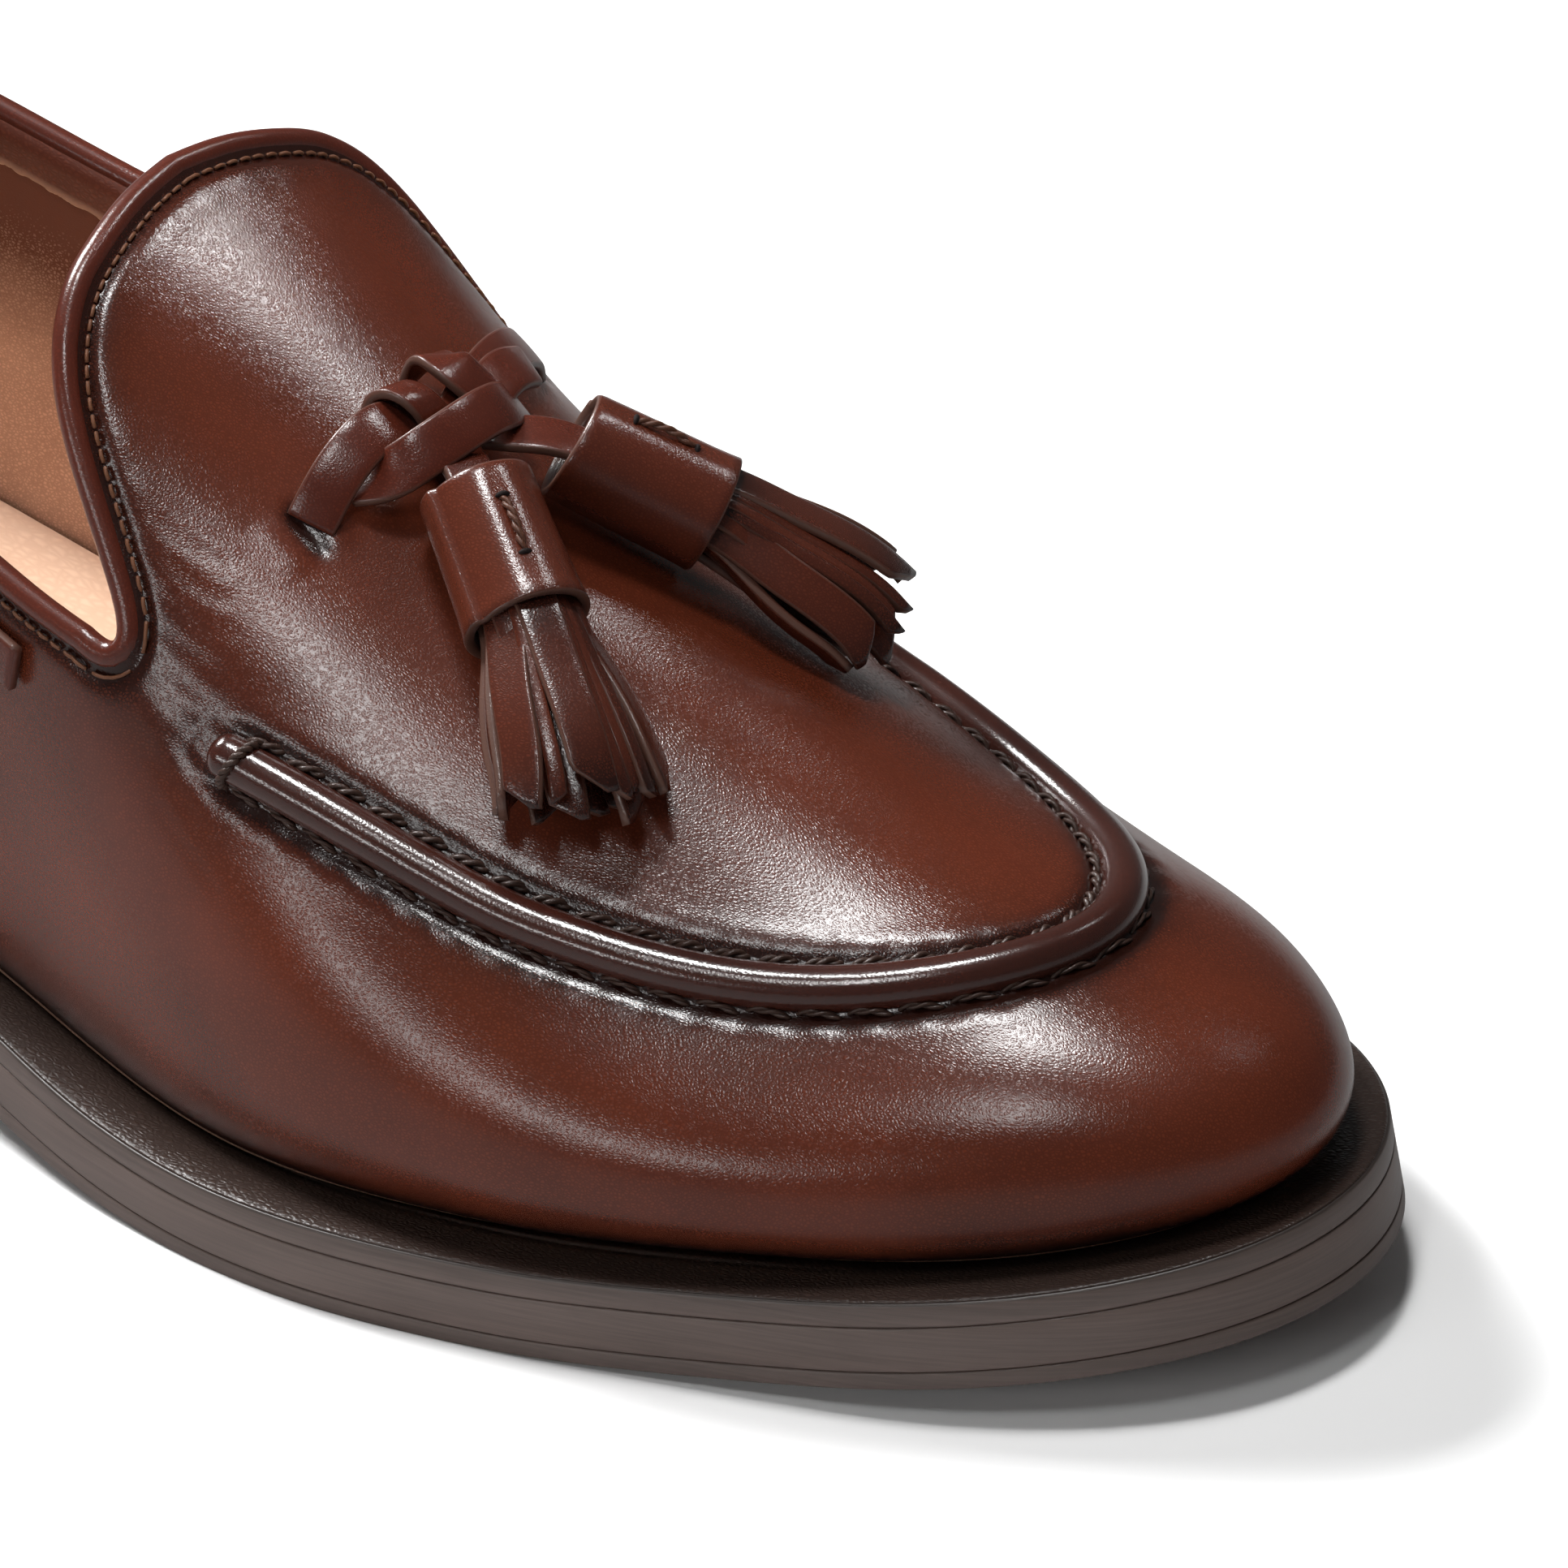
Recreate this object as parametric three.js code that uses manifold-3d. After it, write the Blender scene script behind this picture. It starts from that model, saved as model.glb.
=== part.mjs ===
// A tassel loafer for the right foot: a leather upper with a raised apron seam, a bound collar,
// a lace that ends in two tassels, and a welted sole on a stacked heel.
// Millimetres. X runs from the heel to the toe, Y towards the inner side of the foot, Z up.
// Everything is drawn on the shoemaker's last, whose heel is at X 0, and the finished shoe is
// moved so that the middle of its footprint is the origin.
import * as THREE from "three";
import { mergeVertices } from "three/addons/utils/BufferGeometryUtils.js";
import Module from "manifold-3d";

const wasm = await Module();
wasm.setup();

// Driving sizes of the last
const LAST_LENGTH = 288;
const BALL_HALF_WIDTH = 49;
const INSTEP_HEIGHT = 102; // crest of the instep above the feather line
const SIDE_HEIGHT = 22; // widest line of the heel above the feather line
const HEEL_LIFT = 24.2; // heel seat above the forepart
const TOE_SPRING = 8.6;

// Leather and clearance
const WALL = 2.0;
const SEAM_GAP = 0.3; // between pieces that meet

// Sole
const WELT_THICKNESS = 3.2;
const MIDSOLE_THICKNESS = 5.0;
const OUTSOLE_THICKNESS = 2.2;
const TOP_LIFT_THICKNESS = 6.0;
const INSOLE_THICKNESS = 2.6;
const INSOLE_MARGIN = 1.7; // between its edge and the upper, whose walls lean out
const FOREPART_WELT = 7.2; // how far the welt stands out past the feather line
const WAIST_WELT = 5.4;
const HEEL_WELT = 3.6;
const WELT_LIP = 6.0; // how far the welt reaches in under the upper
const HEEL_LENGTH = 74;
const HEEL_TAPER = 2.2;
const BREAST_HOLLOW = 3.5;
const SOLE_STATIONS = 38;

// Collar
const QUARTER_HEIGHT = 60; // topline above the feather line
const BINDING_RADIUS = 1.6;
const COLLAR_STEPS = 88; // points round the collar

// Raised seam of the apron
const APRON_HALF_WIDTH = 29.7;
const APRON_ROUND = 60; // length over which the seam's front closes
const APRON_POWER = 2.084; // how square that front is
const APRON_TIP = 0.896; // shares of the last's length
const APRON_BACK = 0.577;
const APRON_FLARE = 0.096;
const ROLL_RADIUS = 2.75;

// Lace and tassels
const LACE_WIDTH = 6.0;
const LACE_THICKNESS = 1.2;
const SLIT_LENGTH = 7.6;
const SLIT_WIDTH = 2.6;
const BARREL_LENGTH = 18.5;
const BARREL_RADIUS = 6.6;
const FRINGE_LENGTH = 24;
const FRINGE_WIDTH = 4.4;
const FRINGE_THICKNESS = 1.2;

// Finish of the materials
const CALF = { color: 0x6a2f20, roughness: 0.35, metalness: 0 };
const DARK_CALF = { color: 0x4a2018, roughness: 0.32, metalness: 0 };
const WELT_LEATHER = { color: 0x2e2420, roughness: 0.5, metalness: 0 };
const SOLE_EDGE = { color: 0x4b403c, roughness: 0.45, metalness: 0 };
const RUBBER = { color: 0x5a4a42, roughness: 0.7, metalness: 0 };
const TAN_LEATHER = { color: 0xd9b094, roughness: 0.6, metalness: 0 };

// Rows of a table with named columns
function table(columns, ...rows) {
  return rows.map((row) => Object.fromEntries(columns.map((name, i) => [name, row[i]])));
}

// The last from heel to toe. Width and shift are shares of the ball's half width, crest of the
// instep height and side of the side height, and full is how square the section is.
const SECTIONS = table(
  ["at", "width", "shift", "crest", "side", "full"],
  [0.0, 0.61, 0.0, 0.925, 1.0, 0.01],
  [0.09, 0.654, 0.006, 0.962, 1.0, 0.0],
  [0.2, 0.678, 0.012, 1.0, 1.0, -0.02],
  [0.32, 0.699, -0.012, 1.002, 0.91, -0.05],
  [0.44, 0.772, -0.025, 0.928, 0.81, -0.09],
  [0.54, 0.898, -0.053, 0.784, 0.703, -0.03],
  [0.64, 0.998, -0.05, 0.613, 0.636, 0.02],
  [0.74, 0.996, -0.013, 0.475, 0.561, 0.05],
  [0.84, 0.939, 0.012, 0.378, 0.433, 0.04],
  [0.92, 0.891, 0.03, 0.342, 0.345, 0.0],
  [1.0, 0.844, 0.02, 0.32, 0.38, 0.0],
);
const HEEL_ROUND = { from: 0.155, power: 2.5 };
const TOE_ROUND = { from: 0.726, power: 1.756 };

// Feather line: where the arch, the flat forepart and the toe spring begin and end
const ARCH = { heel: 0.06, ball: 0.6 };
const SPRING = { ball: 0.7, power: 1.7 };

// Topline of the quarters, as shares of the quarter height
const TOPLINE = table(
  ["at", "height"],
  [0.0, 1.02],
  [0.06, 0.995],
  [0.12, 0.985],
  [0.24, 1.012],
  [0.34, 1.006],
  [0.44, 0.979],
  [0.53, 0.935],
);
const TOPLINE_END = 0.512;

// Edge of the tongue, from the ridge of the instep down its side. Turn is the angle from the ridge.
const TONGUE_EDGE = table(
  ["turn", "at"],
  [0.0, 0.4535],
  [0.18, 0.457],
  [0.32, 0.4615],
  [0.45, 0.4655],
  [0.54, 0.4695],
  [0.64, 0.4755],
  [0.75, 0.487],
  [0.81, 0.4975],
  [0.87, 0.5105],
  [0.91, 0.519],
);
const NOTCH = { turn: 0.997, at: 0.5366 }; // corner that the notch's round is drawn in

// Slits that the lace comes out of, on the outer and the inner side. Turn is positive on the outer
// side of the foot, and lean turns a slit from the shoe's length towards the instep's ridge.
const FRONT_SLITS = table(["at", "turn", "lean"], [0.5785, 0.428, 0.1], [0.5565, -0.63, 0.7]);
const QUARTER_RUNS = table(
  ["side", "fromAt", "toAt", "drop"],
  ["lateral", 0.479, 0.31, 10],
  ["medial", 0.479, 0.31, 10],
);
const HEEL_RUN = { toAt: 0.1, drop: 10 };

// Natural cubic spline through a column of a table, over its column "at"
function spline(rows, column) {
  const x = rows.map((row) => row.at);
  const y = rows.map((row) => row[column]);
  const n = x.length;
  const bend = new Array(n).fill(0);
  const work = new Array(n).fill(0);
  for (let i = 1; i < n - 1; i += 1) {
    const ratio = (x[i] - x[i - 1]) / (x[i + 1] - x[i - 1]);
    const pivot = ratio * bend[i - 1] + 2;
    const jump = (y[i + 1] - y[i]) / (x[i + 1] - x[i]) - (y[i] - y[i - 1]) / (x[i] - x[i - 1]);
    bend[i] = (ratio - 1) / pivot;
    work[i] = ((6 * jump) / (x[i + 1] - x[i - 1]) - ratio * work[i - 1]) / pivot;
  }
  const curve = new Array(n).fill(0);
  for (let i = n - 2; i > 0; i -= 1) curve[i] = bend[i] * curve[i + 1] + work[i];
  return (at) => {
    let i = 0;
    while (i < n - 2 && at > x[i + 1]) i += 1;
    const span = x[i + 1] - x[i];
    const a = (x[i + 1] - at) / span;
    const b = (at - x[i]) / span;
    const bow = (a ** 3 - a) * curve[i] + (b ** 3 - b) * curve[i + 1];
    return a * y[i] + b * y[i + 1] + (bow * span ** 2) / 6;
  };
}

const clamp = THREE.MathUtils.clamp;
const shape = Object.fromEntries(
  ["width", "shift", "crest", "side", "full"].map((column) => [column, spline(SECTIONS, column)]),
);

const FOREPART_HEIGHT = WELT_THICKNESS + MIDSOLE_THICKNESS + OUTSOLE_THICKNESS + 2 * SEAM_GAP;

// Height of the feather line, which is the top of the welt
function featherHeight(at) {
  const arch = clamp((ARCH.ball - at) / (ARCH.ball - ARCH.heel), 0, 1);
  const toe = Math.max(0, at - SPRING.ball) / (1 - SPRING.ball);
  return FOREPART_HEIGHT + HEEL_LIFT * arch * arch * (3 - 2 * arch) + TOE_SPRING * toe ** SPRING.power;
}

function featherSlope(at) {
  const step = 1e-4;
  return (featherHeight(at + step) - featherHeight(at - step)) / (2 * step * LAST_LENGTH);
}

// How much of the full section is left where the heel and the toe round off
function rounding(at) {
  const toe = clamp((at - TOE_ROUND.from) / (1 - TOE_ROUND.from), 0, 1);
  const heel = clamp((HEEL_ROUND.from - at) / HEEL_ROUND.from, 0, 1);
  return Math.sqrt(1 - toe ** TOE_ROUND.power) * Math.sqrt(1 - heel ** HEEL_ROUND.power);
}

function section(at) {
  const round = rounding(at);
  const side = shape.side(at) * SIDE_HEIGHT;
  return {
    half: shape.width(at) * BALL_HALF_WIDTH * round,
    middle: shape.shift(at) * BALL_HALF_WIDTH,
    side,
    base: featherHeight(at) + side,
    rise: (shape.crest(at) * INSTEP_HEIGHT - side) * round,
    full: shape.full(at),
  };
}

// A point of the last. Turn is the angle from the ridge, positive towards the outer side.
function onLast(at, turn) {
  const { half, middle, base, rise, full } = section(at);
  const angle = turn + Math.PI / 2;
  const across = (Math.cos(angle) + full * Math.cos(3 * angle)) / (1 + full);
  const up = (Math.sin(angle) - full * Math.sin(3 * angle)) / (1 + full);
  return new THREE.Vector3(at * LAST_LENGTH, middle + half * across, base + rise * up);
}

function lastNormal(at, turn) {
  const step = 1e-4;
  const along = onLast(at + step, turn).sub(onLast(at - step, turn));
  const around = onLast(at, turn + step).sub(onLast(at, turn - step));
  return around.cross(along).normalize();
}

// A point at a height above the last's surface
function above(at, turn, lift) {
  return onLast(at, turn).addScaledVector(lastNormal(at, turn), lift);
}

// The turn at which the section reaches a height above the feather line, on the outer side
function turnAtHeight(at, height) {
  const { side, rise, full } = section(at);
  const goal = ((height - side) / rise) * (1 + full);
  let sine = clamp(goal, -1, 1);
  for (let i = 0; i < 12; i += 1) {
    const miss = sine - full * (3 * sine - 4 * sine ** 3) - goal;
    sine = clamp(sine - miss / (1 - full * (3 - 12 * sine * sine)), -1, 1);
  }
  return Math.PI / 2 - Math.asin(sine);
}

// The share of the length where a value of the last changes sign
function between(low, high, value) {
  const sign = Math.sign(value(low));
  for (let i = 0; i < 40; i += 1) {
    const middle = (low + high) / 2;
    if (Math.sign(value(middle)) === sign) low = middle;
    else high = middle;
  }
  return (low + high) / 2;
}

function evenly(count, from, to) {
  return Array.from({ length: count }, (_, i) => from + ((to - from) * i) / (count - 1));
}

// Values that crowd towards both ends, as stations of a rounded form do
function crowded(count, from, to) {
  return evenly(count, 0, Math.PI).map((angle) => from + ((to - from) * (1 - Math.cos(angle))) / 2);
}

// Bodies from rings of points that follow one another, closed at both ends
function loft(rings, joined = false) {
  const points = rings.flat();
  const count = rings[0].length;
  const faces = [];
  const steps = joined ? rings.length : rings.length - 1;
  for (let i = 0; i < steps; i += 1) {
    const here = i * count;
    const next = ((i + 1) % rings.length) * count;
    for (let j = 0; j < count; j += 1) {
      const k = (j + 1) % count;
      faces.push(here + j, here + k, next + k, here + j, next + k, next + j);
    }
  }
  if (!joined) {
    [rings[0], rings[rings.length - 1]].forEach((ring, end) => {
      const centre = new THREE.Vector3();
      ring.forEach((point) => centre.addScaledVector(point, 1 / count));
      points.push(centre);
      const first = end === 0 ? 0 : (rings.length - 1) * count;
      for (let j = 0; j < count; j += 1) {
        const k = (j + 1) % count;
        if (end === 0) faces.push(points.length - 1, first + k, first + j);
        else faces.push(points.length - 1, first + j, first + k);
      }
    });
  }
  const geometry = new THREE.BufferGeometry().setFromPoints(points);
  geometry.setIndex(faces);
  return geometry;
}

// A closed geometry as a solid that can be joined and cut. Its faces are turned to point out.
function solid(geometry) {
  const bare = geometry.clone();
  bare.deleteAttribute("normal");
  bare.deleteAttribute("uv");
  const merged = mergeVertices(bare, 1e-5);
  const triVerts = new Uint32Array(merged.index.array);
  const vertProperties = new Float32Array(merged.attributes.position.array);
  if (volume(vertProperties, triVerts) < 0) {
    for (let i = 0; i < triVerts.length; i += 3) {
      [triVerts[i], triVerts[i + 1]] = [triVerts[i + 1], triVerts[i]];
    }
  }
  return new wasm.Manifold(new wasm.Mesh({ numProp: 3, vertProperties, triVerts }));
}

function volume(positions, triangles) {
  const corner = (i) => new THREE.Vector3().fromArray(positions, 3 * triangles[i]);
  let total = 0;
  for (let i = 0; i < triangles.length; i += 3) {
    total += corner(i).dot(corner(i + 1).cross(corner(i + 2)));
  }
  return total;
}

function geometryOf(body) {
  const mesh = body.getMesh();
  const geometry = new THREE.BufferGeometry();
  const positions = new Float32Array(mesh.vertProperties);
  geometry.setAttribute("position", new THREE.BufferAttribute(positions, mesh.numProp));
  geometry.setIndex(new THREE.BufferAttribute(new Uint32Array(mesh.triVerts), 1));
  return geometry;
}

// The last as a solid, grown outwards or, with a negative lift, inwards
function lastBody(lift) {
  const stations = 28;
  const around = 29;
  const below = 7;
  const lowest = 1.4;
  const rings = crowded(stations, 0.0012, 0.9988).map((at) => {
    const { side, rise } = section(at);
    const dip = Math.asin(Math.min(Math.sin(lowest), (side + below) / rise));
    const reach = Math.PI / 2 + dip;
    return evenly(around, -reach, reach).map((turn) => above(at, turn, lift));
  });
  return solid(loft(rings));
}

// Everything below the feather line, to cut the upper flat where the sole closes it
function groundBlock(rise) {
  const reach = 60;
  const corner = (at, height) => new THREE.Vector2(at * LAST_LENGTH, height);
  const top = evenly(60, -0.2, 1.2).map((at) => corner(at, featherHeight(at) + rise));
  const outline = [...top, corner(1.2, -reach), corner(-0.2, -reach)];
  const width = 4 * BALL_HALF_WIDTH;
  const block = new THREE.ExtrudeGeometry(new THREE.Shape(outline), { depth: width, bevelEnabled: false });
  block.rotateX(Math.PI / 2);
  block.translate(0, width / 2, 0);
  return solid(block);
}

// The collar's top edge as places on the last: down the tongue's outer side, round the notch,
// back along the quarter to the heel, and the same on the inner side in reverse.
function collarPlaces() {
  const tongueRows = TONGUE_EDGE.map(({ turn, at }) => ({ at: turn, share: at }));
  const tongue = spline(tongueRows, "share");
  const lowest = TONGUE_EDGE[TONGUE_EDGE.length - 1].turn;
  const down = evenly(24, 0, lowest).map((turn) => ({ at: tongue(turn), turn }));
  const heel = heelBelowTopline(0);
  const back = evenly(60, 0, Math.PI / 2).map((angle) => {
    const at = heel + (TOPLINE_END - heel) * Math.cos(angle);
    return { at, turn: turnBelowTopline(at, 0) };
  });
  const from = down[down.length - 1];
  const to = back[0];
  const notch = evenly(12, 0, 1)
    .slice(1, -1)
    .map((t) => ({
      at: (1 - t) ** 2 * from.at + 2 * t * (1 - t) * NOTCH.at + t * t * to.at,
      turn: (1 - t) ** 2 * from.turn + 2 * t * (1 - t) * NOTCH.turn + t * t * to.turn,
      tight: true,
    }));
  const outer = [...down, ...notch, ...back];
  outer[outer.length - 1] = { at: heel, turn: 0 };
  const inner = outer.slice(1, -1).reverse();
  return [...outer, ...inner.map((place) => ({ ...place, turn: -place.turn }))];
}

// The collar moved into the leather by a distance, at even steps round the loop and at closer
// ones in the notches
function collarLoop(inset, lift) {
  const count = COLLAR_STEPS;
  const places = collarPlaces();
  const points = places.map(({ at, turn }) => onLast(at, turn));
  const normals = places.map(({ at, turn }) => lastNormal(at, turn));
  const lengths = [0];
  points.forEach((point, i) => {
    const step = point.distanceTo(points[(i + 1) % points.length]);
    lengths.push(lengths[i] + step * (places[i].tight ? 3 : 1));
  });
  const total = lengths[points.length];
  const even = evenly(count + 1, 0, total)
    .slice(0, -1)
    .map((length) => {
      let i = 0;
      while (lengths[i + 1] <= length) i += 1;
      const k = (i + 1) % points.length;
      const t = (length - lengths[i]) / (lengths[i + 1] - lengths[i]);
      const point = points[i].clone().lerp(points[k], t);
      return { point, normal: normals[i].clone().lerp(normals[k], t).normalize() };
    });
  return even.map(({ point, normal }, i) => {
    const ahead = even[(i + 1) % count].point;
    const behind = even[(i + count - 1) % count].point;
    const away = normal.clone().cross(ahead.clone().sub(behind)).normalize();
    return { point: point.clone().addScaledVector(away, inset).addScaledVector(normal, lift), normal };
  });
}

// What the collar opens: a plug through the wall that stands on the collar's loop
function collarPlug(inset) {
  const beyond = 1.2; // the cut is square to the wall from this far inside it to this far outside
  const flare = 9;
  const headroom = 160;
  const loop = collarLoop(inset, 0);
  const floor = new THREE.Vector3(0.27 * LAST_LENGTH, 0, featherHeight(0.27) + 0.55 * QUARTER_HEIGHT);
  const ring = (lift) => loop.map(({ point, normal }) => point.clone().addScaledVector(normal, lift));
  const inner = ring(-WALL - beyond);
  const outer = ring(flare);
  const middle = inner.map((point) => point.clone().lerp(floor, 0.9));
  const top = outer.map((point) => point.clone().setZ(headroom + HEEL_LIFT + INSTEP_HEIGHT));
  return solid(loft([middle, inner, ring(beyond), outer, top]));
}

// Edges of a layer of the sole, at a distance outside the feather line
function soleEdges(count, margin) {
  const gap = (at) => section(at).rise - section(at).side;
  const heel = between(0.0005, 0.1, gap);
  const toe = between(0.9, 0.9995, gap);
  const places = crowded(count, heel, toe).map((at) => {
    const turn = turnAtHeight(at, 0);
    return { at, outer: onLast(at, turn), inner: onLast(at, -turn) };
  });
  const back = places.slice(1, -1).reverse();
  const loop = [...places.map(({ outer }) => outer), ...back.map(({ inner }) => inner)];
  const moved = loop.map((point, i) => {
    const ahead = loop[(i + 1) % loop.length];
    const behind = loop[(i + loop.length - 1) % loop.length];
    const along = ahead.clone().sub(behind).setZ(0).normalize();
    const out = new THREE.Vector3(along.y, -along.x, 0);
    return point.clone().setZ(0).addScaledVector(out, margin(point));
  });
  const outer = moved.slice(0, count);
  const inner = [moved[0], ...moved.slice(count).reverse(), moved[count - 1]];
  return outer.map((point, i) => [point, inner[i]]);
}

function weltWidth({ x }) {
  const at = x / LAST_LENGTH;
  const widths = table(
    ["at", "value"],
    [0.0, HEEL_WELT],
    [0.2, HEEL_WELT],
    [0.36, WAIST_WELT],
    [0.54, FOREPART_WELT],
    [1.0, FOREPART_WELT],
  );
  let i = 0;
  while (i < widths.length - 2 && at > widths[i + 1].at) i += 1;
  const t = THREE.MathUtils.smoothstep(at, widths[i].at, widths[i + 1].at);
  return THREE.MathUtils.lerp(widths[i].value, widths[i + 1].value, t);
}

// A point of the sole at a depth below the feather line, square to the sole
function inSole(point, depth) {
  const at = point.x / LAST_LENGTH;
  return new THREE.Vector3(point.x + depth * featherSlope(at), point.y, featherHeight(at) - depth);
}

// One layer of the sole between two depths, inside edges that meet in one point at heel and toe
function soleLayer(edges, top, bottom) {
  const rings = edges.map(([outer, inner]) => [
    inSole(outer, top),
    inSole(inner, top),
    inSole(inner, bottom),
    inSole(outer, bottom),
  ]);
  return solid(loft(rings));
}

function makeWelt() {
  const outer = soleEdges(SOLE_STATIONS, weltWidth);
  const inner = soleEdges(SOLE_STATIONS, () => -WELT_LIP);
  const loopOf = (edges) => [
    ...edges.map(([lateral]) => lateral),
    ...edges.slice(1, -1).reverse().map(([, medial]) => medial),
  ];
  const outside = loopOf(outer);
  const inside = loopOf(inner);
  const rings = outside.map((point, i) => [
    inSole(point, 0),
    inSole(point, WELT_THICKNESS),
    inSole(inside[i], WELT_THICKNESS),
    inSole(inside[i], 0),
  ]);
  return solid(loft(rings, true));
}

const MIDSOLE_TOP = WELT_THICKNESS + SEAM_GAP;
const OUTSOLE_TOP = MIDSOLE_TOP + MIDSOLE_THICKNESS + SEAM_GAP;

function makeMidsole() {
  return soleLayer(soleEdges(SOLE_STATIONS, weltWidth), MIDSOLE_TOP, MIDSOLE_TOP + MIDSOLE_THICKNESS);
}

function makeOutsole() {
  return soleLayer(soleEdges(SOLE_STATIONS, weltWidth), OUTSOLE_TOP, FOREPART_HEIGHT);
}

function makeInsole() {
  const edges = soleEdges(SOLE_STATIONS, () => -WALL - INSOLE_MARGIN);
  return soleLayer(edges, -SEAM_GAP - INSOLE_THICKNESS, -SEAM_GAP);
}

// Part of the heel between two heights, under the seat of the outsole and behind the breast
function heelBlock(low, high) {
  const reach = HEEL_LENGTH + 4 * BREAST_HOLLOW; // a little in front of the breast
  const edges = soleEdges(SOLE_STATIONS, weltWidth).filter(([outer]) => outer.x < reach);
  const seat = (point) => inSole(point, FOREPART_HEIGHT + SEAM_GAP);
  const centre = new THREE.Vector3(HEEL_LENGTH / 2, 0, 0);
  const tapered = (point, height) => {
    const top = seat(point);
    const share = 1 - height / top.z;
    const inward = centre.clone().sub(top).setZ(0).normalize();
    return new THREE.Vector3(top.x, top.y, height).addScaledVector(inward, HEEL_TAPER * share);
  };
  const upper = (point) => (high === null ? seat(point) : tapered(point, high));
  const rings = edges.map(([outer, inner]) => [
    upper(outer),
    upper(inner),
    tapered(inner, low),
    tapered(outer, low),
  ]);
  return solid(loft(rings)).subtract(breastCutter());
}

// In front of the heel's breast, which is slightly hollow
function breastCutter() {
  const reach = 2 * BALL_HALF_WIDTH;
  const radius = (reach * reach) / (8 * BREAST_HOLLOW);
  const bow = evenly(13, -reach / 2, reach / 2).map((y) => {
    const x = HEEL_LENGTH - BREAST_HOLLOW + (y * y) / (2 * radius);
    return new THREE.Vector2(x, y);
  });
  const far = HEEL_LENGTH + reach / 2;
  const outline = [...bow, new THREE.Vector2(far, reach / 2), new THREE.Vector2(far, -reach / 2)];
  const options = { depth: INSTEP_HEIGHT, bevelEnabled: false };
  const cutter = new THREE.ExtrudeGeometry(new THREE.Shape(outline), options);
  cutter.translate(0, 0, -TOP_LIFT_THICKNESS);
  return solid(cutter);
}

// A slit through the wall, lying across the way that the lace takes
function slitCutter({ at, turn, lean }) {
  const box = new THREE.BoxGeometry(SLIT_LENGTH, SLIT_WIDTH, 6 * WALL);
  const normal = lastNormal(at, turn);
  const along = onLast(at + 0.01, turn).sub(onLast(at, turn)).normalize();
  const side = normal.clone().cross(along).normalize();
  const length = along.clone().multiplyScalar(Math.cos(lean));
  length.addScaledVector(side, -Math.sign(turn) * Math.sin(lean));
  length.addScaledVector(normal, -length.dot(normal)).normalize();
  const width = normal.clone().cross(length).normalize();
  box.applyMatrix4(new THREE.Matrix4().makeBasis(length, width, normal).setPosition(onLast(at, turn)));
  return solid(box);
}

const EDGE_INSET = 2 * BINDING_RADIUS + 1.5 * SEAM_GAP; // more than the gap, for the notch's tight bend

function makeUpper() {
  const shell = lastBody(0).subtract(lastBody(-WALL));
  const cuts = [groundBlock(SEAM_GAP), collarPlug(EDGE_INSET), ...FRONT_SLITS.map(slitCutter)];
  return cuts.reduce((upper, cut) => upper.subtract(cut), shell);
}

// Circle round a point of a path, square to it and with a corner towards a given direction
function circleAt(point, along, towards, radius, sides) {
  const over = towards.clone().addScaledVector(along, -towards.dot(along)).normalize();
  const right = along.clone().cross(over);
  return evenly(sides + 1, 0, 2 * Math.PI)
    .slice(0, -1)
    .map((angle) => {
      const out = over.clone().multiplyScalar(Math.cos(angle)).addScaledVector(right, Math.sin(angle));
      return point.clone().addScaledVector(out, radius);
    });
}

// The rolled binding on the collar's edge, a closed bead
function makeBinding() {
  const loop = collarLoop(BINDING_RADIUS, -WALL / 2);
  const circles = loop.map(({ point, normal }, i) => {
    const ahead = loop[(i + 1) % loop.length].point;
    const behind = loop[(i + loop.length - 1) % loop.length].point;
    const along = ahead.clone().sub(behind).normalize();
    return circleAt(point, along, normal, BINDING_RADIUS, 8);
  });
  return solid(loft(circles, true));
}

// Places along the apron's seam, from its outer end round the toe to its inner end
function apronPlaces(count) {
  const reach = (APRON_TIP - APRON_BACK) * LAST_LENGTH;
  return evenly(count, -Math.PI / 2, Math.PI / 2).map((angle) => {
    const back = reach * (1 - Math.cos(angle));
    const at = APRON_TIP - back / LAST_LENGTH;
    const round = Math.sqrt(1 - (1 - clamp(back / APRON_ROUND, 0, 1)) ** APRON_POWER);
    const wide = (APRON_HALF_WIDTH + APRON_FLARE * back) * round;
    const turn = between(0, 1.5, (t) => section(at).middle - onLast(at, t).y - wide);
    return { at, turn: angle < 0 ? turn : -turn };
  });
}

function makeApronRoll() {
  const places = apronPlaces(54);
  const points = places.map(({ at, turn }) => above(at, turn, -0.2));
  const rings = points.map((point, i) => {
    const ahead = points[Math.min(i + 1, points.length - 1)];
    const behind = points[Math.max(i - 1, 0)];
    const along = ahead.clone().sub(behind).normalize();
    return circleAt(point, along, lastNormal(places[i].at, places[i].turn), ROLL_RADIUS, 10);
  });
  const close = (ring, share) => {
    const centre = new THREE.Vector3();
    ring.forEach((point) => centre.addScaledVector(point, 1 / ring.length));
    return { centre, ring: ring.map((point) => centre.clone().lerp(point, share)) };
  };
  const endRing = (ring, away) => {
    const small = close(ring, 0.6);
    return small.ring.map((point) => point.addScaledVector(away, 0.8 * ROLL_RADIUS));
  };
  const firstWay = points[0].clone().sub(points[1]).normalize();
  const lastWay = points[points.length - 1].clone().sub(points[points.length - 2]).normalize();
  const all = [endRing(rings[0], firstWay), ...rings, endRing(rings[rings.length - 1], lastWay)];
  return solid(loft(all)).subtract(lastBody(SEAM_GAP));
}

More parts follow.
